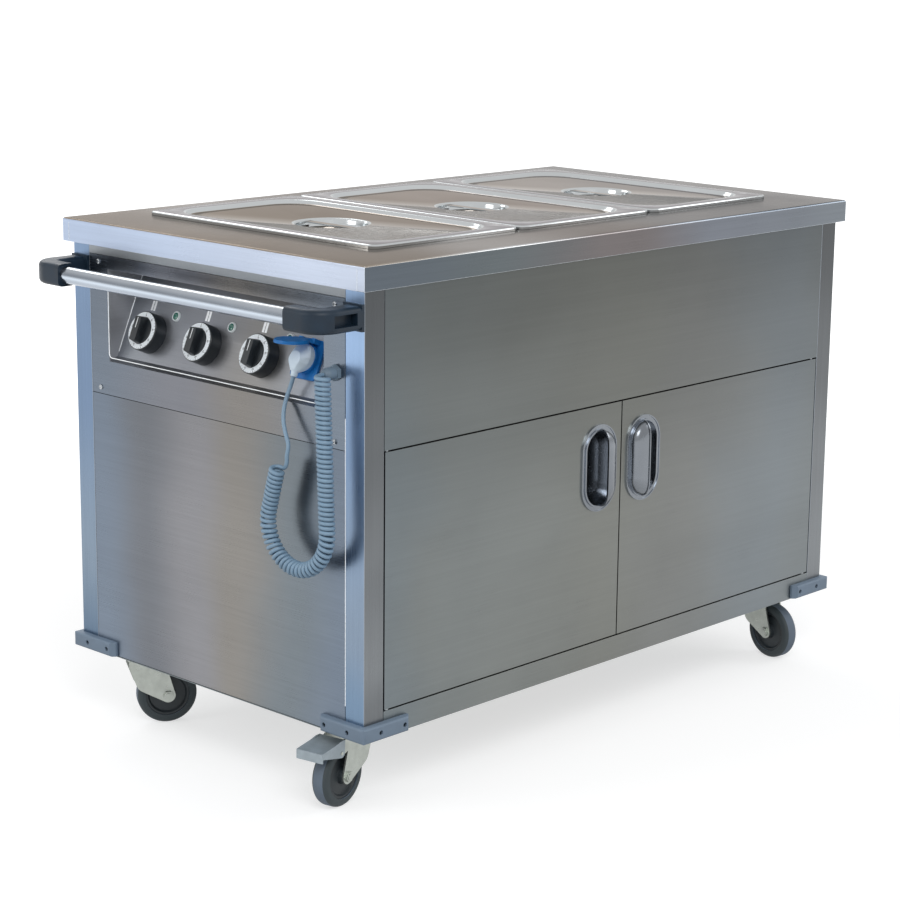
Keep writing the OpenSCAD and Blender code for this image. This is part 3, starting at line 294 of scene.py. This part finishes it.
# painted shade on the front apron, painted reflection on the end apron, and on the worktop painted reflection with
# a painted highlight towards its left end
APRON_SHADE_ALONG = ("X", [(-556, (0.095, 0.112, 0.132)), (-260, (0.108, 0.124, 0.132)), (20, (0.140, 0.126, 0.126)),
                     (280, (0.152, 0.165, 0.190)), (634, (0.160, 0.178, 0.198))])
APRON_END_REFLECTION_ALONG = ("Y", [(-346, (0.460, 0.510, 0.610)), (354, (0.380, 0.450, 0.580))])
TOP_REFLECTION_ALONG = ("X", [(-556, (0.320, 0.280, 0.240)), (-470, (0.350, 0.320, 0.290)), (-260, (0.620, 0.630, 0.645)),
                   (-10, (0.250, 0.230, 0.230)), (200, (0.270, 0.300, 0.340)), (450, (0.170, 0.200, 0.240)),
                   (634, (0.260, 0.300, 0.350))])
# painted reflection on the lids: brown at the left, pinkish in the middle, silver at the right
LID_REFLECTION_ALONG = ("X", [(-440, (0.285, 0.255, 0.220)), (-120, (0.270, 0.245, 0.225)), (80, (0.340, 0.315, 0.305)),
                   (400, (0.430, 0.430, 0.440)), (540, (0.360, 0.370, 0.400))])
# painted reflection bands across the push bar: lighter low down, a dark band just under its axis, cream on top
BAR_REFLECTION_BANDS = ("Z", [(BAR_Z - BAR_R, (0.42, 0.47, 0.54)), (BAR_Z - 8, (0.50, 0.56, 0.63)),
                (BAR_Z - 3, (0.22, 0.245, 0.28)), (BAR_Z + 3, (0.36, 0.39, 0.43)),
                (BAR_Z + BAR_R, (0.62, 0.59, 0.50))])

SATIN = steel("satin_steel", (1, 1, 1), FRONT_REFLECTION_ALONG, FRONT_SHADE_UP, "X", 0.32, aniso=0.5, line=0.035)
SATIN_END = steel("satin_steel_end", (1, 1, 1), END_REFLECTION_ALONG, END_REFLECTION_UP, "Y", 0.30, aniso=0.5)
PANEL = steel("satin_steel_panel", (1, 1, 1), PANEL_REFLECTION_ALONG, None, "Y", 0.26, aniso=0.5)
POST = steel("satin_steel_posts", (0.98, 1.04, 1.09), None, POST_SHADE_UP, "Z", 0.3)
POST_END = steel("satin_steel_posts_end", (1, 1, 1), None, POST_END_REFLECTION_UP, "Z", 0.3)
POST_NEAR_LIT = steel("satin_steel_posts_near_lit", (1, 1, 1), None, POST_NEAR_LIT_UP, "Z", 0.3)
RECESS = steel("satin_steel_recess", (1, 1, 1), SLOPE_REFLECTION_ALONG, None, "Y", 0.32, aniso=0.3, metal=0.8)
# a lighter, less metallic copy of the steel, painted light on the recess's side walls and ceiling against their
# shade
CHEEK_LIT = steel("satin_steel_cheek_lit", (0.36, 0.37, 0.40), rough=0.45, metal=0.4)
# painted highlights: lighter steel on the worktop's rounded edges and on the posts' rounded edges
FOLD_HIGHLIGHT = steel("fold_highlight", (0.62, 0.66, 0.70), rough=0.2, grain="NONE")
FOLD_HIGHLIGHT_POST = steel("post_fold_highlight", (0.30, 0.33, 0.37), rough=0.3, grain="NONE")
# thin bright tubes: painted highlights along the bends of the recess and along a post
FOLD_HIGHLIGHT_LINE = steel("fold_highlight_line", (0.90, 0.93, 0.95), rough=0.35, grain="NONE", metal=0.5)
# the worktop's warm tint on its reflection is painted reflection too
TOP = steel("worktop_steel", (1, 1, 1), TOP_REFLECTION_ALONG, None, "X", 0.16, (0.48, 0.45, 0.425), line=0.03, sway=0.04)
APRON = steel("apron_steel", (1, 1, 1), APRON_SHADE_ALONG, None, "X", 0.3)
APRON_END = steel("apron_end_steel", (1, 1, 1), APRON_END_REFLECTION_ALONG, None, "Y", 0.3)
# lids: painted reflection in the field and on the upper border, with a painted warm tint on the reflection; a
# lighter copy paints highlights on the curved steps
LID = steel("lid_steel", (1, 1, 1), LID_REFLECTION_ALONG, None, "NONE", 0.10, (0.66, 0.615, 0.575), mottle=0.07, line=0.01,
            fine_bump=0.01)
LID_BORDER_REFLECTION = steel("lid_border_reflection", (0.36, 0.345, 0.35), grain="NONE", rough=0.12, edge=(0.66, 0.65, 0.66),
                   mottle=0.06, line=0.01, fine_bump=0.01)
LID_EDGE_HIGHLIGHT = steel("lid_edge_highlight", (0.51, 0.53, 0.54), grain="NONE", rough=0.14, edge=(0.83, 0.84, 0.84),
                 mottle=0.04, line=0.01, fine_bump=0.01)
BAR = steel("bar_steel", (1, 1, 1), None, BAR_REFLECTION_BANDS, "Y", 0.2, line=0.03, sway=0.01)
# grips: the flats in a darker steel, with a painted highlight on the bead's curved faces
GRIP = steel("grip_steel", (0.195, 0.210, 0.230), grain="NONE", rough=0.24, mottle=0.14, line=0.03)
GRIP_HIGHLIGHT = steel("grip_bead_highlight", (0.50, 0.54, 0.60), grain="NONE", rough=0.18, mottle=0.08, line=0.03)
INNER = steel("inner_steel", (0.28, 0.30, 0.32), rough=0.35)
SCREW = steel("screw_steel", (0.42, 0.44, 0.46), grain="NONE", rough=0.25)
DARK_SCREW = steel("screw_steel_dark", (0.06, 0.075, 0.09), grain="NONE", rough=0.35)
BLACK = plastic("black_plastic", (0.008, 0.019, 0.034), 0.42, 700, 0.12, 0.2, gloss=0.3)
KNOB_BLACK = plastic("knob_black", (0.008, 0.012, 0.016), 0.38, 900, 0.1, 0.2)
DIAL = plastic("dial_white", (0.82, 0.87, 0.91), 0.45, 900, 0.05, 0.03)
BUMPER = plastic("bumper_plastic", (0.165, 0.220, 0.290), 0.55, 500, 0.3, 0.08, gloss=0.4)
GLAND = plastic("gland_plastic", (0.15, 0.21, 0.27), 0.5, 600, 0.2, 0.08)
CORD = plastic("cord_sheath", (0.20, 0.31, 0.42), 0.42, 1500, 0.08, 0.06)
BLUE = plastic("socket_blue", (0.012, 0.17, 0.50), 0.35, 800, 0.1, 0.08, gloss=0.3)
WHITE = plastic("plug_white", (0.70, 0.82, 0.92), 0.35, 800, 0.08, 0.04)
TYRE = plastic("tyre_rubber", (0.035, 0.048, 0.054), 0.6, 300, 0.35, 0.15)
TREAD = plastic("tyre_tread", (0.120, 0.155, 0.200), 0.7, 300, 0.4, 0.12)
HUB = plastic("hub_plastic", (0.018, 0.025, 0.030), 0.5, 500, 0.25, 0.15)
LENS = plastic("lamp_green", (0.005, 0.13, 0.09), 0.12, 300, 0.05, 0.1, coat=0.6)
BEZEL = plastic("lamp_bezel", (0.80, 0.86, 0.88), 0.3, 700, 0.08, 0.04)
ZINC = zinc("zinc_plate", (0.50, 0.53, 0.49))
PEDAL = zinc("zinc_pedal", (0.36, 0.42, 0.46), 0.4, 0.5)
SHELL = plastic("thermostat_shell", (0.5, 0.5, 0.47), 0.5, 700, 0.1, 0.05)
HEAT = steel("heater_plate", (0.40, 0.38, 0.35), grain="NONE", rough=0.4)
MARK_BLACK = plastic("print_black", (0.012, 0.013, 0.016), 0.5, 900, 0.05, 0.1)
MARK_WHITE = plastic("print_white", (0.90, 0.92, 0.94), 0.45, 900, 0.05, 0.02)
# the index marks' white print, made part metal so that it catches the bright surroundings: painted light against
# the recess's shade
MARK_LIT = steel("index_mark", (0.92, 0.94, 0.96), rough=0.4, grain="NONE", mottle=0.02, metal=0.6)


# ---------------------------------------------------------------- the CAD nodes: smooth curves, rounded edges
def smoothing_group(angle):
    """Shades a mesh smooth, except across edges that bend by more than the angle."""
    g = bpy.data.node_groups.new("smooth_%d" % round(angle), "GeometryNodeTree")
    g.interface.new_socket("Geometry", in_out="INPUT", socket_type="NodeSocketGeometry")
    g.interface.new_socket("Geometry", in_out="OUTPUT", socket_type="NodeSocketGeometry")
    ins, outs = g.nodes.new("NodeGroupInput"), g.nodes.new("NodeGroupOutput")
    merge = g.nodes.new("GeometryNodeMergeByDistance")
    merge.inputs["Distance"].default_value = 0.00002
    faces = g.nodes.new("GeometryNodeSetShadeSmooth")
    faces.domain = "FACE"
    edges = g.nodes.new("GeometryNodeSetShadeSmooth")
    edges.domain = "EDGE"
    edges.inputs["Shade Smooth"].default_value = False
    bend = g.nodes.new("GeometryNodeInputMeshEdgeAngle")
    test = g.nodes.new("FunctionNodeCompare")
    test.data_type = "FLOAT"
    test.operation = "GREATER_THAN"
    test.inputs["B"].default_value = math.radians(angle)
    g.links.new(ins.outputs[0], merge.inputs["Geometry"])
    g.links.new(merge.outputs[0], faces.inputs["Geometry"])
    g.links.new(faces.outputs[0], edges.inputs["Geometry"])
    g.links.new(bend.outputs["Unsigned Angle"], test.inputs["A"])
    g.links.new(test.outputs[0], edges.inputs["Selection"])
    g.links.new(edges.outputs[0], outs.inputs[0])
    return g


SMOOTH = smoothing_group(28)


def finish_node(name, material, bevel=0.0, segments=2, edge=None):
    """Gives a CAD node its material, smooth curves and, if asked, small rounded edges, which can take a second
    material for a painted highlight.
    """
    o = NODES[name]
    o.data.materials.clear()
    o.data.materials.append(material)
    m = o.modifiers.new("smooth", "NODES")
    m.node_group = SMOOTH
    if bevel:
        b = o.modifiers.new("edges", "BEVEL")
        b.width = bevel / 1000
        b.segments = segments
        b.limit_method = "ANGLE"
        b.angle_limit = math.radians(40)
        b.harden_normals = True
        if edge:
            o.data.materials.append(edge)
            b.material = 1


def paint(name, material, test):
    """Gives the faces of a CAD node that pass the test a second material."""
    o = NODES[name]
    o.data.materials.append(material)
    k = len(o.data.materials) - 1
    for p in o.data.polygons:
        if test(p.center * 1000, p.normal):
            p.material_index = k


for n in ("front_fascia", "back_panel", "base_pan"):
    finish_node(n, SATIN, 0.3)
for n in ("door_left", "door_right"):
    finish_node(n, SATIN, 0.4)
for n in ("end_panel_left", "end_panel_right"):
    finish_node(n, SATIN_END, 0.3)
finish_node("control_panel", PANEL, 0.3)
RECESS_D = 80                                       # just past the recess's depth
# the sloping knob surface takes its painted reflection tones
paint("control_panel", RECESS, lambda c, n: n.z > 0.2 and n.x < -0.2 and c.x > PX + 1 and c.z < 790)
# the recess's side walls and ceiling take the lighter copy, painted light against their shade
paint("control_panel", CHEEK_LIT,
      lambda c, n: abs(n.y) > 0.9 and abs(c.y - MID_Y) < 256 and PX + 2 < c.x < PX + RECESS_D)
paint("control_panel", CHEEK_LIT, lambda c, n: n.z < -0.9 and c.z > 770 and PX + 2 < c.x < PX + RECESS_D)
# the worktop's rounded edges take the painted highlight
finish_node("worktop", TOP, 0.9, edge=FOLD_HIGHLIGHT)
# the aprons take their painted shade and painted reflection tones
paint("worktop", APRON, lambda c, n: abs(n.y) > 0.9)
paint("worktop", APRON_END, lambda c, n: abs(n.x) > 0.9)
for n in ("well_left", "well_middle", "well_right", "cupboard_liner", "shelf", "top_rails"):
    finish_node(n, INNER)
finish_node("heating_plates", HEAT)
finish_node("push_bar", BAR)
for n in ("bracket_front", "bracket_rear"):
    finish_node(n, BLACK, 0.8)
for n in NODES:
    if n.startswith("post_"):
        finish_node(n, POST, 0.6, edge=FOLD_HIGHLIGHT_POST)
        # end faces: painted reflection; the near post's lighter copy is painted light against its shadow
        paint(n, POST_NEAR_LIT if n == "post_front_left" else POST_END, lambda c, n: abs(n.x) > 0.9)
    if n.startswith("bumper_"):
        finish_node(n, BUMPER)
    if n.startswith("fork_"):
        finish_node(n, ZINC, 0.7)
    if n.startswith("pedal_"):
        finish_node(n, PEDAL, 1.2, 3)
    if n.startswith("hub_"):
        finish_node(n, HUB, 0.5)
    if n.startswith("tyre_"):
        finish_node(n, TYRE)
        axle = Vector(JOINTS["wheel_" + n[5:] + "_spin"]["axis"])
        paint(n, TREAD, lambda c, n, axle=axle: abs(n.dot(axle)) < 0.3)
    if n.startswith("lid_"):
        finish_node(n, LID)
        # painted reflection on the upper border, painted highlight on the faces that are not level
        paint(n, LID_BORDER_REFLECTION, lambda c, n: n.z > 0.98 and c.z > TOP_Z - 1)
        paint(n, LID_EDGE_HIGHLIGHT, lambda c, n: abs(n.z) <= 0.98)
    if n.startswith("grip_"):
        finish_node(n, GRIP)
        # painted highlight on the bead's curved faces
        paint(n, GRIP_HIGHLIGHT, lambda c, n: -0.93 < n.y < 0.2 and c.y > PY - 4.5)
    if n.startswith("knob_"):
        finish_node(n, KNOB_BLACK, 0.4)
finish_node("screws", SCREW)
paint("screws", DARK_SCREW, lambda c, n: c.z < 170)
finish_node("caster_plates", ZINC, 0.4)
finish_node("hinge_pins", SCREW)
finish_node("thermostats", SHELL, 0.5)
finish_node("lamps", BEZEL)
finish_node("socket_base", BLUE, 0.5)
finish_node("socket_flap", BLUE, 0.5)
finish_node("cable_gland", GLAND, 0.4)
finish_node("plug", WHITE, 0.5)


# ---------------------------------------------------------------- cord
CORD_D, CURL_R, CURLS = 6.4, 9.4, 68.75             # cord, a curl's radius, turns counted in the photograph
GLAND_Y, GLAND_Z = -273.9, 684.0
GLAND_OUT, COIL_OUT = 26, 36                        # the gland's mouth and the coil's middle, in front of PX
LOOP = (-228.4, 448.0, 64.5)                        # middle of the loop at the coil's foot, and its radius
LOOP_FROM, LOOP_TO = math.radians(177.6), math.radians(376)
RISE = 67.0                                         # straight end of the coil that comes up beside the lead
PLUG_MOUTH = (MID_Y - 179, 684, -32, 21)            # on the knob surface: y and z, up it, in front of it
STEPS = 20                                          # points in a curl
LEAD = [(-567, -195, 566), (-564, -185, 584), (-561, -178, 600), (-556, -174, 616), (-548, -171, 632),
        (-541, -171, 646)]


def between(a, b, c, d, t):
    """The Catmull-Rom curve from b to c."""
    return 0.5 * (2 * b + (c - a) * t + (2 * a - 5 * b + 4 * c - d) * t * t + (3 * b - a - 3 * c + d) * t ** 3)


def curve_point(r, u):
    """A point of the smooth curve through the points r."""
    n = len(r) - 1
    i = min(int(u), n - 1)
    a = r[i - 1] if i > 0 else 2 * r[0] - r[1]
    d = r[i + 2] if i + 2 <= n else 2 * r[n] - r[n - 1]
    return between(a, r[i], r[i + 1], d, u - i)


def loop_point(angle):
    return Vector((LOOP[0] + LOOP[2] * math.cos(angle), LOOP[1] + LOOP[2] * math.sin(angle)))


def coil_line():
    """The coil's middle line in the YZ plane: two lengths, and a function of length for place and direction."""
    start, foot = Vector((GLAND_Y - CURL_R, GLAND_Z)), loop_point(LOOP_FROM)
    hang, bend = (foot - start).length, LOOP[2] * (LOOP_TO - LOOP_FROM)
    down = (foot - start).normalized()
    out = Vector((-math.sin(LOOP_TO), math.cos(LOOP_TO)))

    def at(s):
        if s < hang:
            return start + s * down, down
        if s < hang + bend:
            angle = LOOP_FROM + (s - hang) / LOOP[2]
            return loop_point(angle), Vector((-math.sin(angle), math.cos(angle)))
        return loop_point(LOOP_TO) + (s - hang - bend) * out, out

    return hang, bend, at


def cord_points():
    """The cord's centre line: out of the gland, down and round the coil, up the lead and into the plug."""
    hang, bend, at = coil_line()
    x = (PX - COIL_OUT) / 1000
    wide = 1 / (1 - CURL_R / LOOP[2])
    pitch = (hang + bend / wide + RISE) / CURLS
    steps = round(CURLS * STEPS)
    gland = mm(PX - GLAND_OUT, GLAND_Y, GLAND_Z)
    pts = [gland, gland - mm(CORD_D, 0, 0)]
    for i in range(1, steps + 1):
        turn = CURLS * i / steps
        s = turn * pitch
        if s > hang:
            s = min(hang + (s - hang) * wide, s + bend - bend / wide)
        c, h = at(s)
        f = math.radians(90 - 360 * turn)
        spoke = Vector((-math.cos(f), -h.y * math.sin(f), h.x * math.sin(f)))
        pts.append(Vector((x, c.x / 1000, c.y / 1000)) + CURL_R / 1000 * spoke)
    a = pts[-1]
    d = a + mm(0, -11, 14)
    b = a + 0.007 * Vector((0, -h.y, h.x))
    c = d - mm(0, 0, 8)
    for k in range(1, 9):
        t = k / 8
        pts.append((1 - t) ** 3 * a + 3 * (1 - t) ** 2 * t * b + 3 * (1 - t) * t * t * c + t ** 3 * d)
    end = d + mm(0, 0, CORD_D)
    lead = [d, end] + [mm(*p) for p in LEAD]
    y, z, u, w = PLUG_MOUTH
    lead += [slope_point(y, z, u - CORD_D, w), slope_point(y, z, u, w)]
    for k in range(1, (len(lead) - 1) * 5 + 1):
        pts.append(curve_point(lead, k / 5))
    return pts


def tube_curve(name, pts, diameter, material, sides=4):
    c = bpy.data.curves.new(name, "CURVE")
    c.dimensions = "3D"
    c.bevel_depth = diameter / 2000
    c.bevel_resolution = sides
    c.use_fill_caps = True
    s = c.splines.new("POLY")
    s.points.add(len(pts) - 1)
    for p, q in zip(s.points, pts):
        p.co = (*q, 1)
    s.use_smooth = True
    c.materials.append(material)
    o = bpy.data.objects.new(name, c)
    scene.collection.objects.link(o)
    return o


points = cord_points()
cord = tube_curve("mains_cord", points, CORD_D, CORD)
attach(cord, "cabinet")
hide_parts("cord_lead", "cord_coil")


# ---------------------------------------------------------------- small pieces
def piece(name, bm, material, body, smooth=False):
    me = bpy.data.meshes.new(name)
    bm.normal_update()
    bm.to_mesh(me)
    bm.free()
    if smooth:
        me.polygons.foreach_set("use_smooth", [True] * len(me.polygons))
    me.materials.append(material)
    o = bpy.data.objects.new(name, me)
    scene.collection.objects.link(o)
    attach(o, body)


def plate(bm, matrix, u, v, w, lu, lv, lw):
    """A thin block in the matrix's own axes, in mm: middle (u, v), foot w, sides lu by lv, height lw."""
    made = bmesh.ops.create_cube(bm, size=1.0)["verts"]
    sides = Matrix.Diagonal((lu / 1000, lv / 1000, lw / 1000, 1))
    bmesh.ops.transform(bm, matrix=matrix @ Matrix.Translation(mm(u, v, w + lw / 2)) @ sides, verts=made)


def figures(bm, text, matrix, size, thick):
    """Adds raised figures to bm, centred on the matrix's origin, with their top towards its local +Y."""
    c = bpy.data.curves.new("figures", "FONT")
    c.body = text
    c.size = size / 1000
    c.extrude = thick / 2000
    c.align_x = "CENTER"
    c.align_y = "CENTER"
    o = bpy.data.objects.new("figures", c)
    scene.collection.objects.link(o)
    bpy.context.view_layer.update()
    me = o.evaluated_get(bpy.context.evaluated_depsgraph_get()).to_mesh().copy()
    bpy.data.objects.remove(o)
    me.transform(matrix @ Matrix.Translation(mm(0, 0, thick / 2)))
    bm.from_mesh(me)
    bpy.data.meshes.remove(me)


KNOBS = {"rear": 1, "middle": 0, "front": -1}
KNOB_Y, PITCH, KNOB_Z, KNOB_H = MID_Y + 50.5, 133.5, 674, 23.3
RING_IN, RING_OUT = 21.7, 30.6                      # radii just inside and outside the dial ring
TICKS, TICK_TURN, FIGURE_TURN = 28, -10, -40        # ticks, and degrees from one tick or figure to the next
FIGURES = ("0", "30", "40", "50", "60", "70", "80", "90")
FIGURE_AT, FIGURE_SIZE = 25.0, 4.2                  # their radius on the ring, and their height
PRINT = 0.08                                        # how far the print stands out
POINTER_FOOT = 38.3                                 # the grip bar's top
MARK_UP, MARKS = 46, (13.9, 20.1)                   # the two index strokes: up the slope, sideways
LAMP_SIDE, LAMP_Z = -44, 707                        # a lamp beside its knob
LENS_R, LENS_FOOT, LENS_RISE = 5.9, 2.6, 1.5        # a lamp's lens above the knob surface


def on_ring(back):
    """A test for the faces of a knob's dial ring."""
    def test(c, n):
        p = back @ (c / 1000) * 1000
        on = RING_IN < math.hypot(p.x, p.y) < RING_OUT and p.z > KNOB_H + 0.2
        return on and (back.to_3x3() @ n).z > 0.9
    return test


def lens(bm, matrix, radius, foot, rise, around=24, levels=6):
    """A domed lens on the matrix's local Z."""
    rings = []
    for j in range(levels):
        f = math.radians(90 * j / levels)
        r, z = radius * math.cos(f), foot + rise * math.sin(f)
        rings.append([bm.verts.new(matrix @ mm(r * math.cos(t), r * math.sin(t), z))
                      for t in (2 * math.pi * k / around for k in range(around))])
    crown = bm.verts.new(matrix @ mm(0, 0, foot + rise))
    for t in range(around):
        u = (t + 1) % around
        for lower, upper in zip(rings, rings[1:]):
            bm.faces.new((lower[t], lower[u], upper[u], upper[t]))
        bm.faces.new((rings[-1][t], rings[-1][u], crown))
    bm.faces.new(list(reversed(rings[0])))


for label, k in KNOBS.items():
    seat = slope_frame(KNOB_Y + k * PITCH, KNOB_Z)
    paint("knob_" + label, DIAL, on_ring(seat.inverted()))
    bm = bmesh.new()
    top = KNOB_H + 0.5
    for i in range(TICKS):
        turn = seat @ Matrix.Rotation(math.radians(TICK_TURN * i), 4, "Z")
        at, long, wide = (28.8, 2.8, 0.7) if i % 4 == 0 else (29.3, 1.6, 0.45)
        plate(bm, turn, at, 0, top, long, wide, PRINT)
    for i, word in enumerate(FIGURES):
        turn = seat @ Matrix.Rotation(math.radians(FIGURE_TURN * i), 4, "Z")
        place = turn @ Matrix.Translation(mm(FIGURE_AT, 0, top))
        figures(bm, word, place @ Matrix.Rotation(math.radians(-90), 4, "Z"), FIGURE_SIZE, PRINT)
    piece("dial_print_" + label, bm, MARK_BLACK, "knob_" + label)
    bm = bmesh.new()
    plate(bm, seat, 9.5, 0, POINTER_FOOT, 17, 1.4, 0.1)
    piece("pointer_" + label, bm, MARK_WHITE, "knob_" + label)
    bm = bmesh.new()
    for v in MARKS:
        plate(bm, seat, MARK_UP, v, 0, 16.5, 4.6, 0.12)
    piece("index_mark_" + label, bm, MARK_LIT, "cabinet")
    bm = bmesh.new()
    lens(bm, slope_frame(KNOB_Y + k * PITCH + LAMP_SIDE, LAMP_Z), LENS_R, LENS_FOOT, LENS_RISE)
    piece("lamp_lens_" + label, bm, LENS, "cabinet", True)


# ---------------------------------------------------------------- painted highlights on the folds: round the recess, along a post
RECESS_Y0, RECESS_Y1, RECESS_Z0, RECESS_Z1 = -247.9, 256.1, 631.3, 781.3


def draw_fold_highlight(name, pts, radius=0.9):
    o = tube_curve(name, pts, 2 * radius, FOLD_HIGHLIGHT_LINE, 2)
    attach(o, "cabinet")


CORNER = 7.0
turn = [(RECESS_Y1 - CORNER * (1 - math.cos(t)), RECESS_Z0 + CORNER * (1 - math.sin(t)))
        for t in (math.radians(9 * k) for k in range(11))]
corners = [(RECESS_Y1, RECESS_Z1 - 14)] + turn + [(RECESS_Y0, RECESS_Z0)]
draw_fold_highlight("recess_edge_highlight", [mm(PX, y, z) for y, z in corners])
for name, y in (("recess_fold_highlight_rear", RECESS_Y1 - 0.4), ("recess_fold_highlight_front", RECESS_Y0 + 0.4)):
    draw_fold_highlight(name, [mm(slope_x(z), y, z) for z in (RECESS_Z0 + 8, RECESS_Z1 - 2)])
draw_fold_highlight("post_fold_highlight", [mm(PX, PY + 40, z) for z in (176, 618)], 0.7)


# ---------------------------------------------------------------- floor, light and background
def seen_directly(nt):
    """1 for camera, glossy and transmission rays, 0 for the rays that carry soft light."""
    path = nt.nodes.new("ShaderNodeLightPath")
    total = path.outputs["Is Camera Ray"]
    for name in ("Is Glossy Ray", "Is Transmission Ray"):
        n = nt.nodes.new("ShaderNodeMath")
        n.operation = "ADD"
        n.use_clamp = True
        nt.links.new(total, n.inputs[0])
        nt.links.new(path.outputs[name], n.inputs[1])
        total = n.outputs[0]
    return total


def ranged(nt, value, start, end, low, high):
    n = nt.nodes.new("ShaderNodeMapRange")
    n.interpolation_type = "SMOOTHSTEP"
    for key, v in (("From Min", start), ("From Max", end), ("To Min", low), ("To Max", high)):
        n.inputs[key].default_value = v
    nt.links.new(value, n.inputs["Value"])
    return n.outputs[0]


def add_floor():
    """A pale floor that takes the trolley's shadow and runs out to white."""
    bpy.ops.mesh.primitive_plane_add(size=60)
    o = bpy.context.object
    o.name = "floor"
    m = bpy.data.materials.new("floor_paint")
    m.use_nodes = True
    nt = m.node_tree
    nt.nodes.clear()
    out = nt.nodes.new("ShaderNodeOutputMaterial")
    d = nt.nodes.new("ShaderNodeBsdfDiffuse")
    d.inputs["Color"].default_value = (0.52, 0.525, 0.53, 1)
    e = nt.nodes.new("ShaderNodeEmission")
    e.inputs["Color"].default_value = (1, 1, 1, 1)
    coord = nt.nodes.new("ShaderNodeTexCoord")
    far = nt.nodes.new("ShaderNodeVectorMath")
    far.operation = "LENGTH"
    nt.links.new(coord.outputs["Object"], far.inputs[0])
    glow = ranged(nt, far.outputs["Value"], 0.9, 3.2, 0.60, 1.0)
    gain = nt.nodes.new("ShaderNodeMath")
    gain.operation = "MULTIPLY"
    nt.links.new(seen_directly(nt), gain.inputs[0])
    nt.links.new(glow, gain.inputs[1])
    nt.links.new(gain.outputs[0], e.inputs["Strength"])
    both = nt.nodes.new("ShaderNodeAddShader")
    nt.links.new(d.outputs[0], both.inputs[0])
    nt.links.new(e.outputs[0], both.inputs[1])
    nt.links.new(both.outputs[0], out.inputs["Surface"])
    o.data.materials.append(m)


def add_world():
    w = bpy.data.worlds.new("studio")
    scene.world = w
    w.use_nodes = True
    nt = w.node_tree
    nt.nodes.clear()
    out = nt.nodes.new("ShaderNodeOutputWorld")
    bg = nt.nodes.new("ShaderNodeBackground")
    bg.inputs["Color"].default_value = (1, 1, 1, 1)
    nt.links.new(ranged(nt, seen_directly(nt), 0, 1, 0.56, 1.0), bg.inputs["Strength"])
    nt.links.new(bg.outputs[0], out.inputs["Surface"])


AIM = Vector((0, 0, 0.5))                           # what the lamps point at


def add_light(name, place, size, power):
    data = bpy.data.lights.new(name, "AREA")
    data.shape = "RECTANGLE"
    data.size, data.size_y = size
    data.energy = power
    o = bpy.data.objects.new(name, data)
    scene.collection.objects.link(o)
    o.location = place
    o.rotation_mode = "QUATERNION"
    o.rotation_quaternion = (AIM - Vector(place)).to_track_quat("-Z", "Y")


add_floor()
add_world()
add_light("key", (-2.6, -3.4, 3.6), (2.4, 2.0), 98)
add_light("fill", (3.6, -2.6, 2.6), (2.2, 2.2), 38)
add_light("end_fill", (-4.2, 1.8, 2.2), (2.0, 2.0), 40)
add_light("back", (1.5, 4.0, 3.2), (2.5, 1.6), 45)

scene.view_settings.view_transform = "Standard"
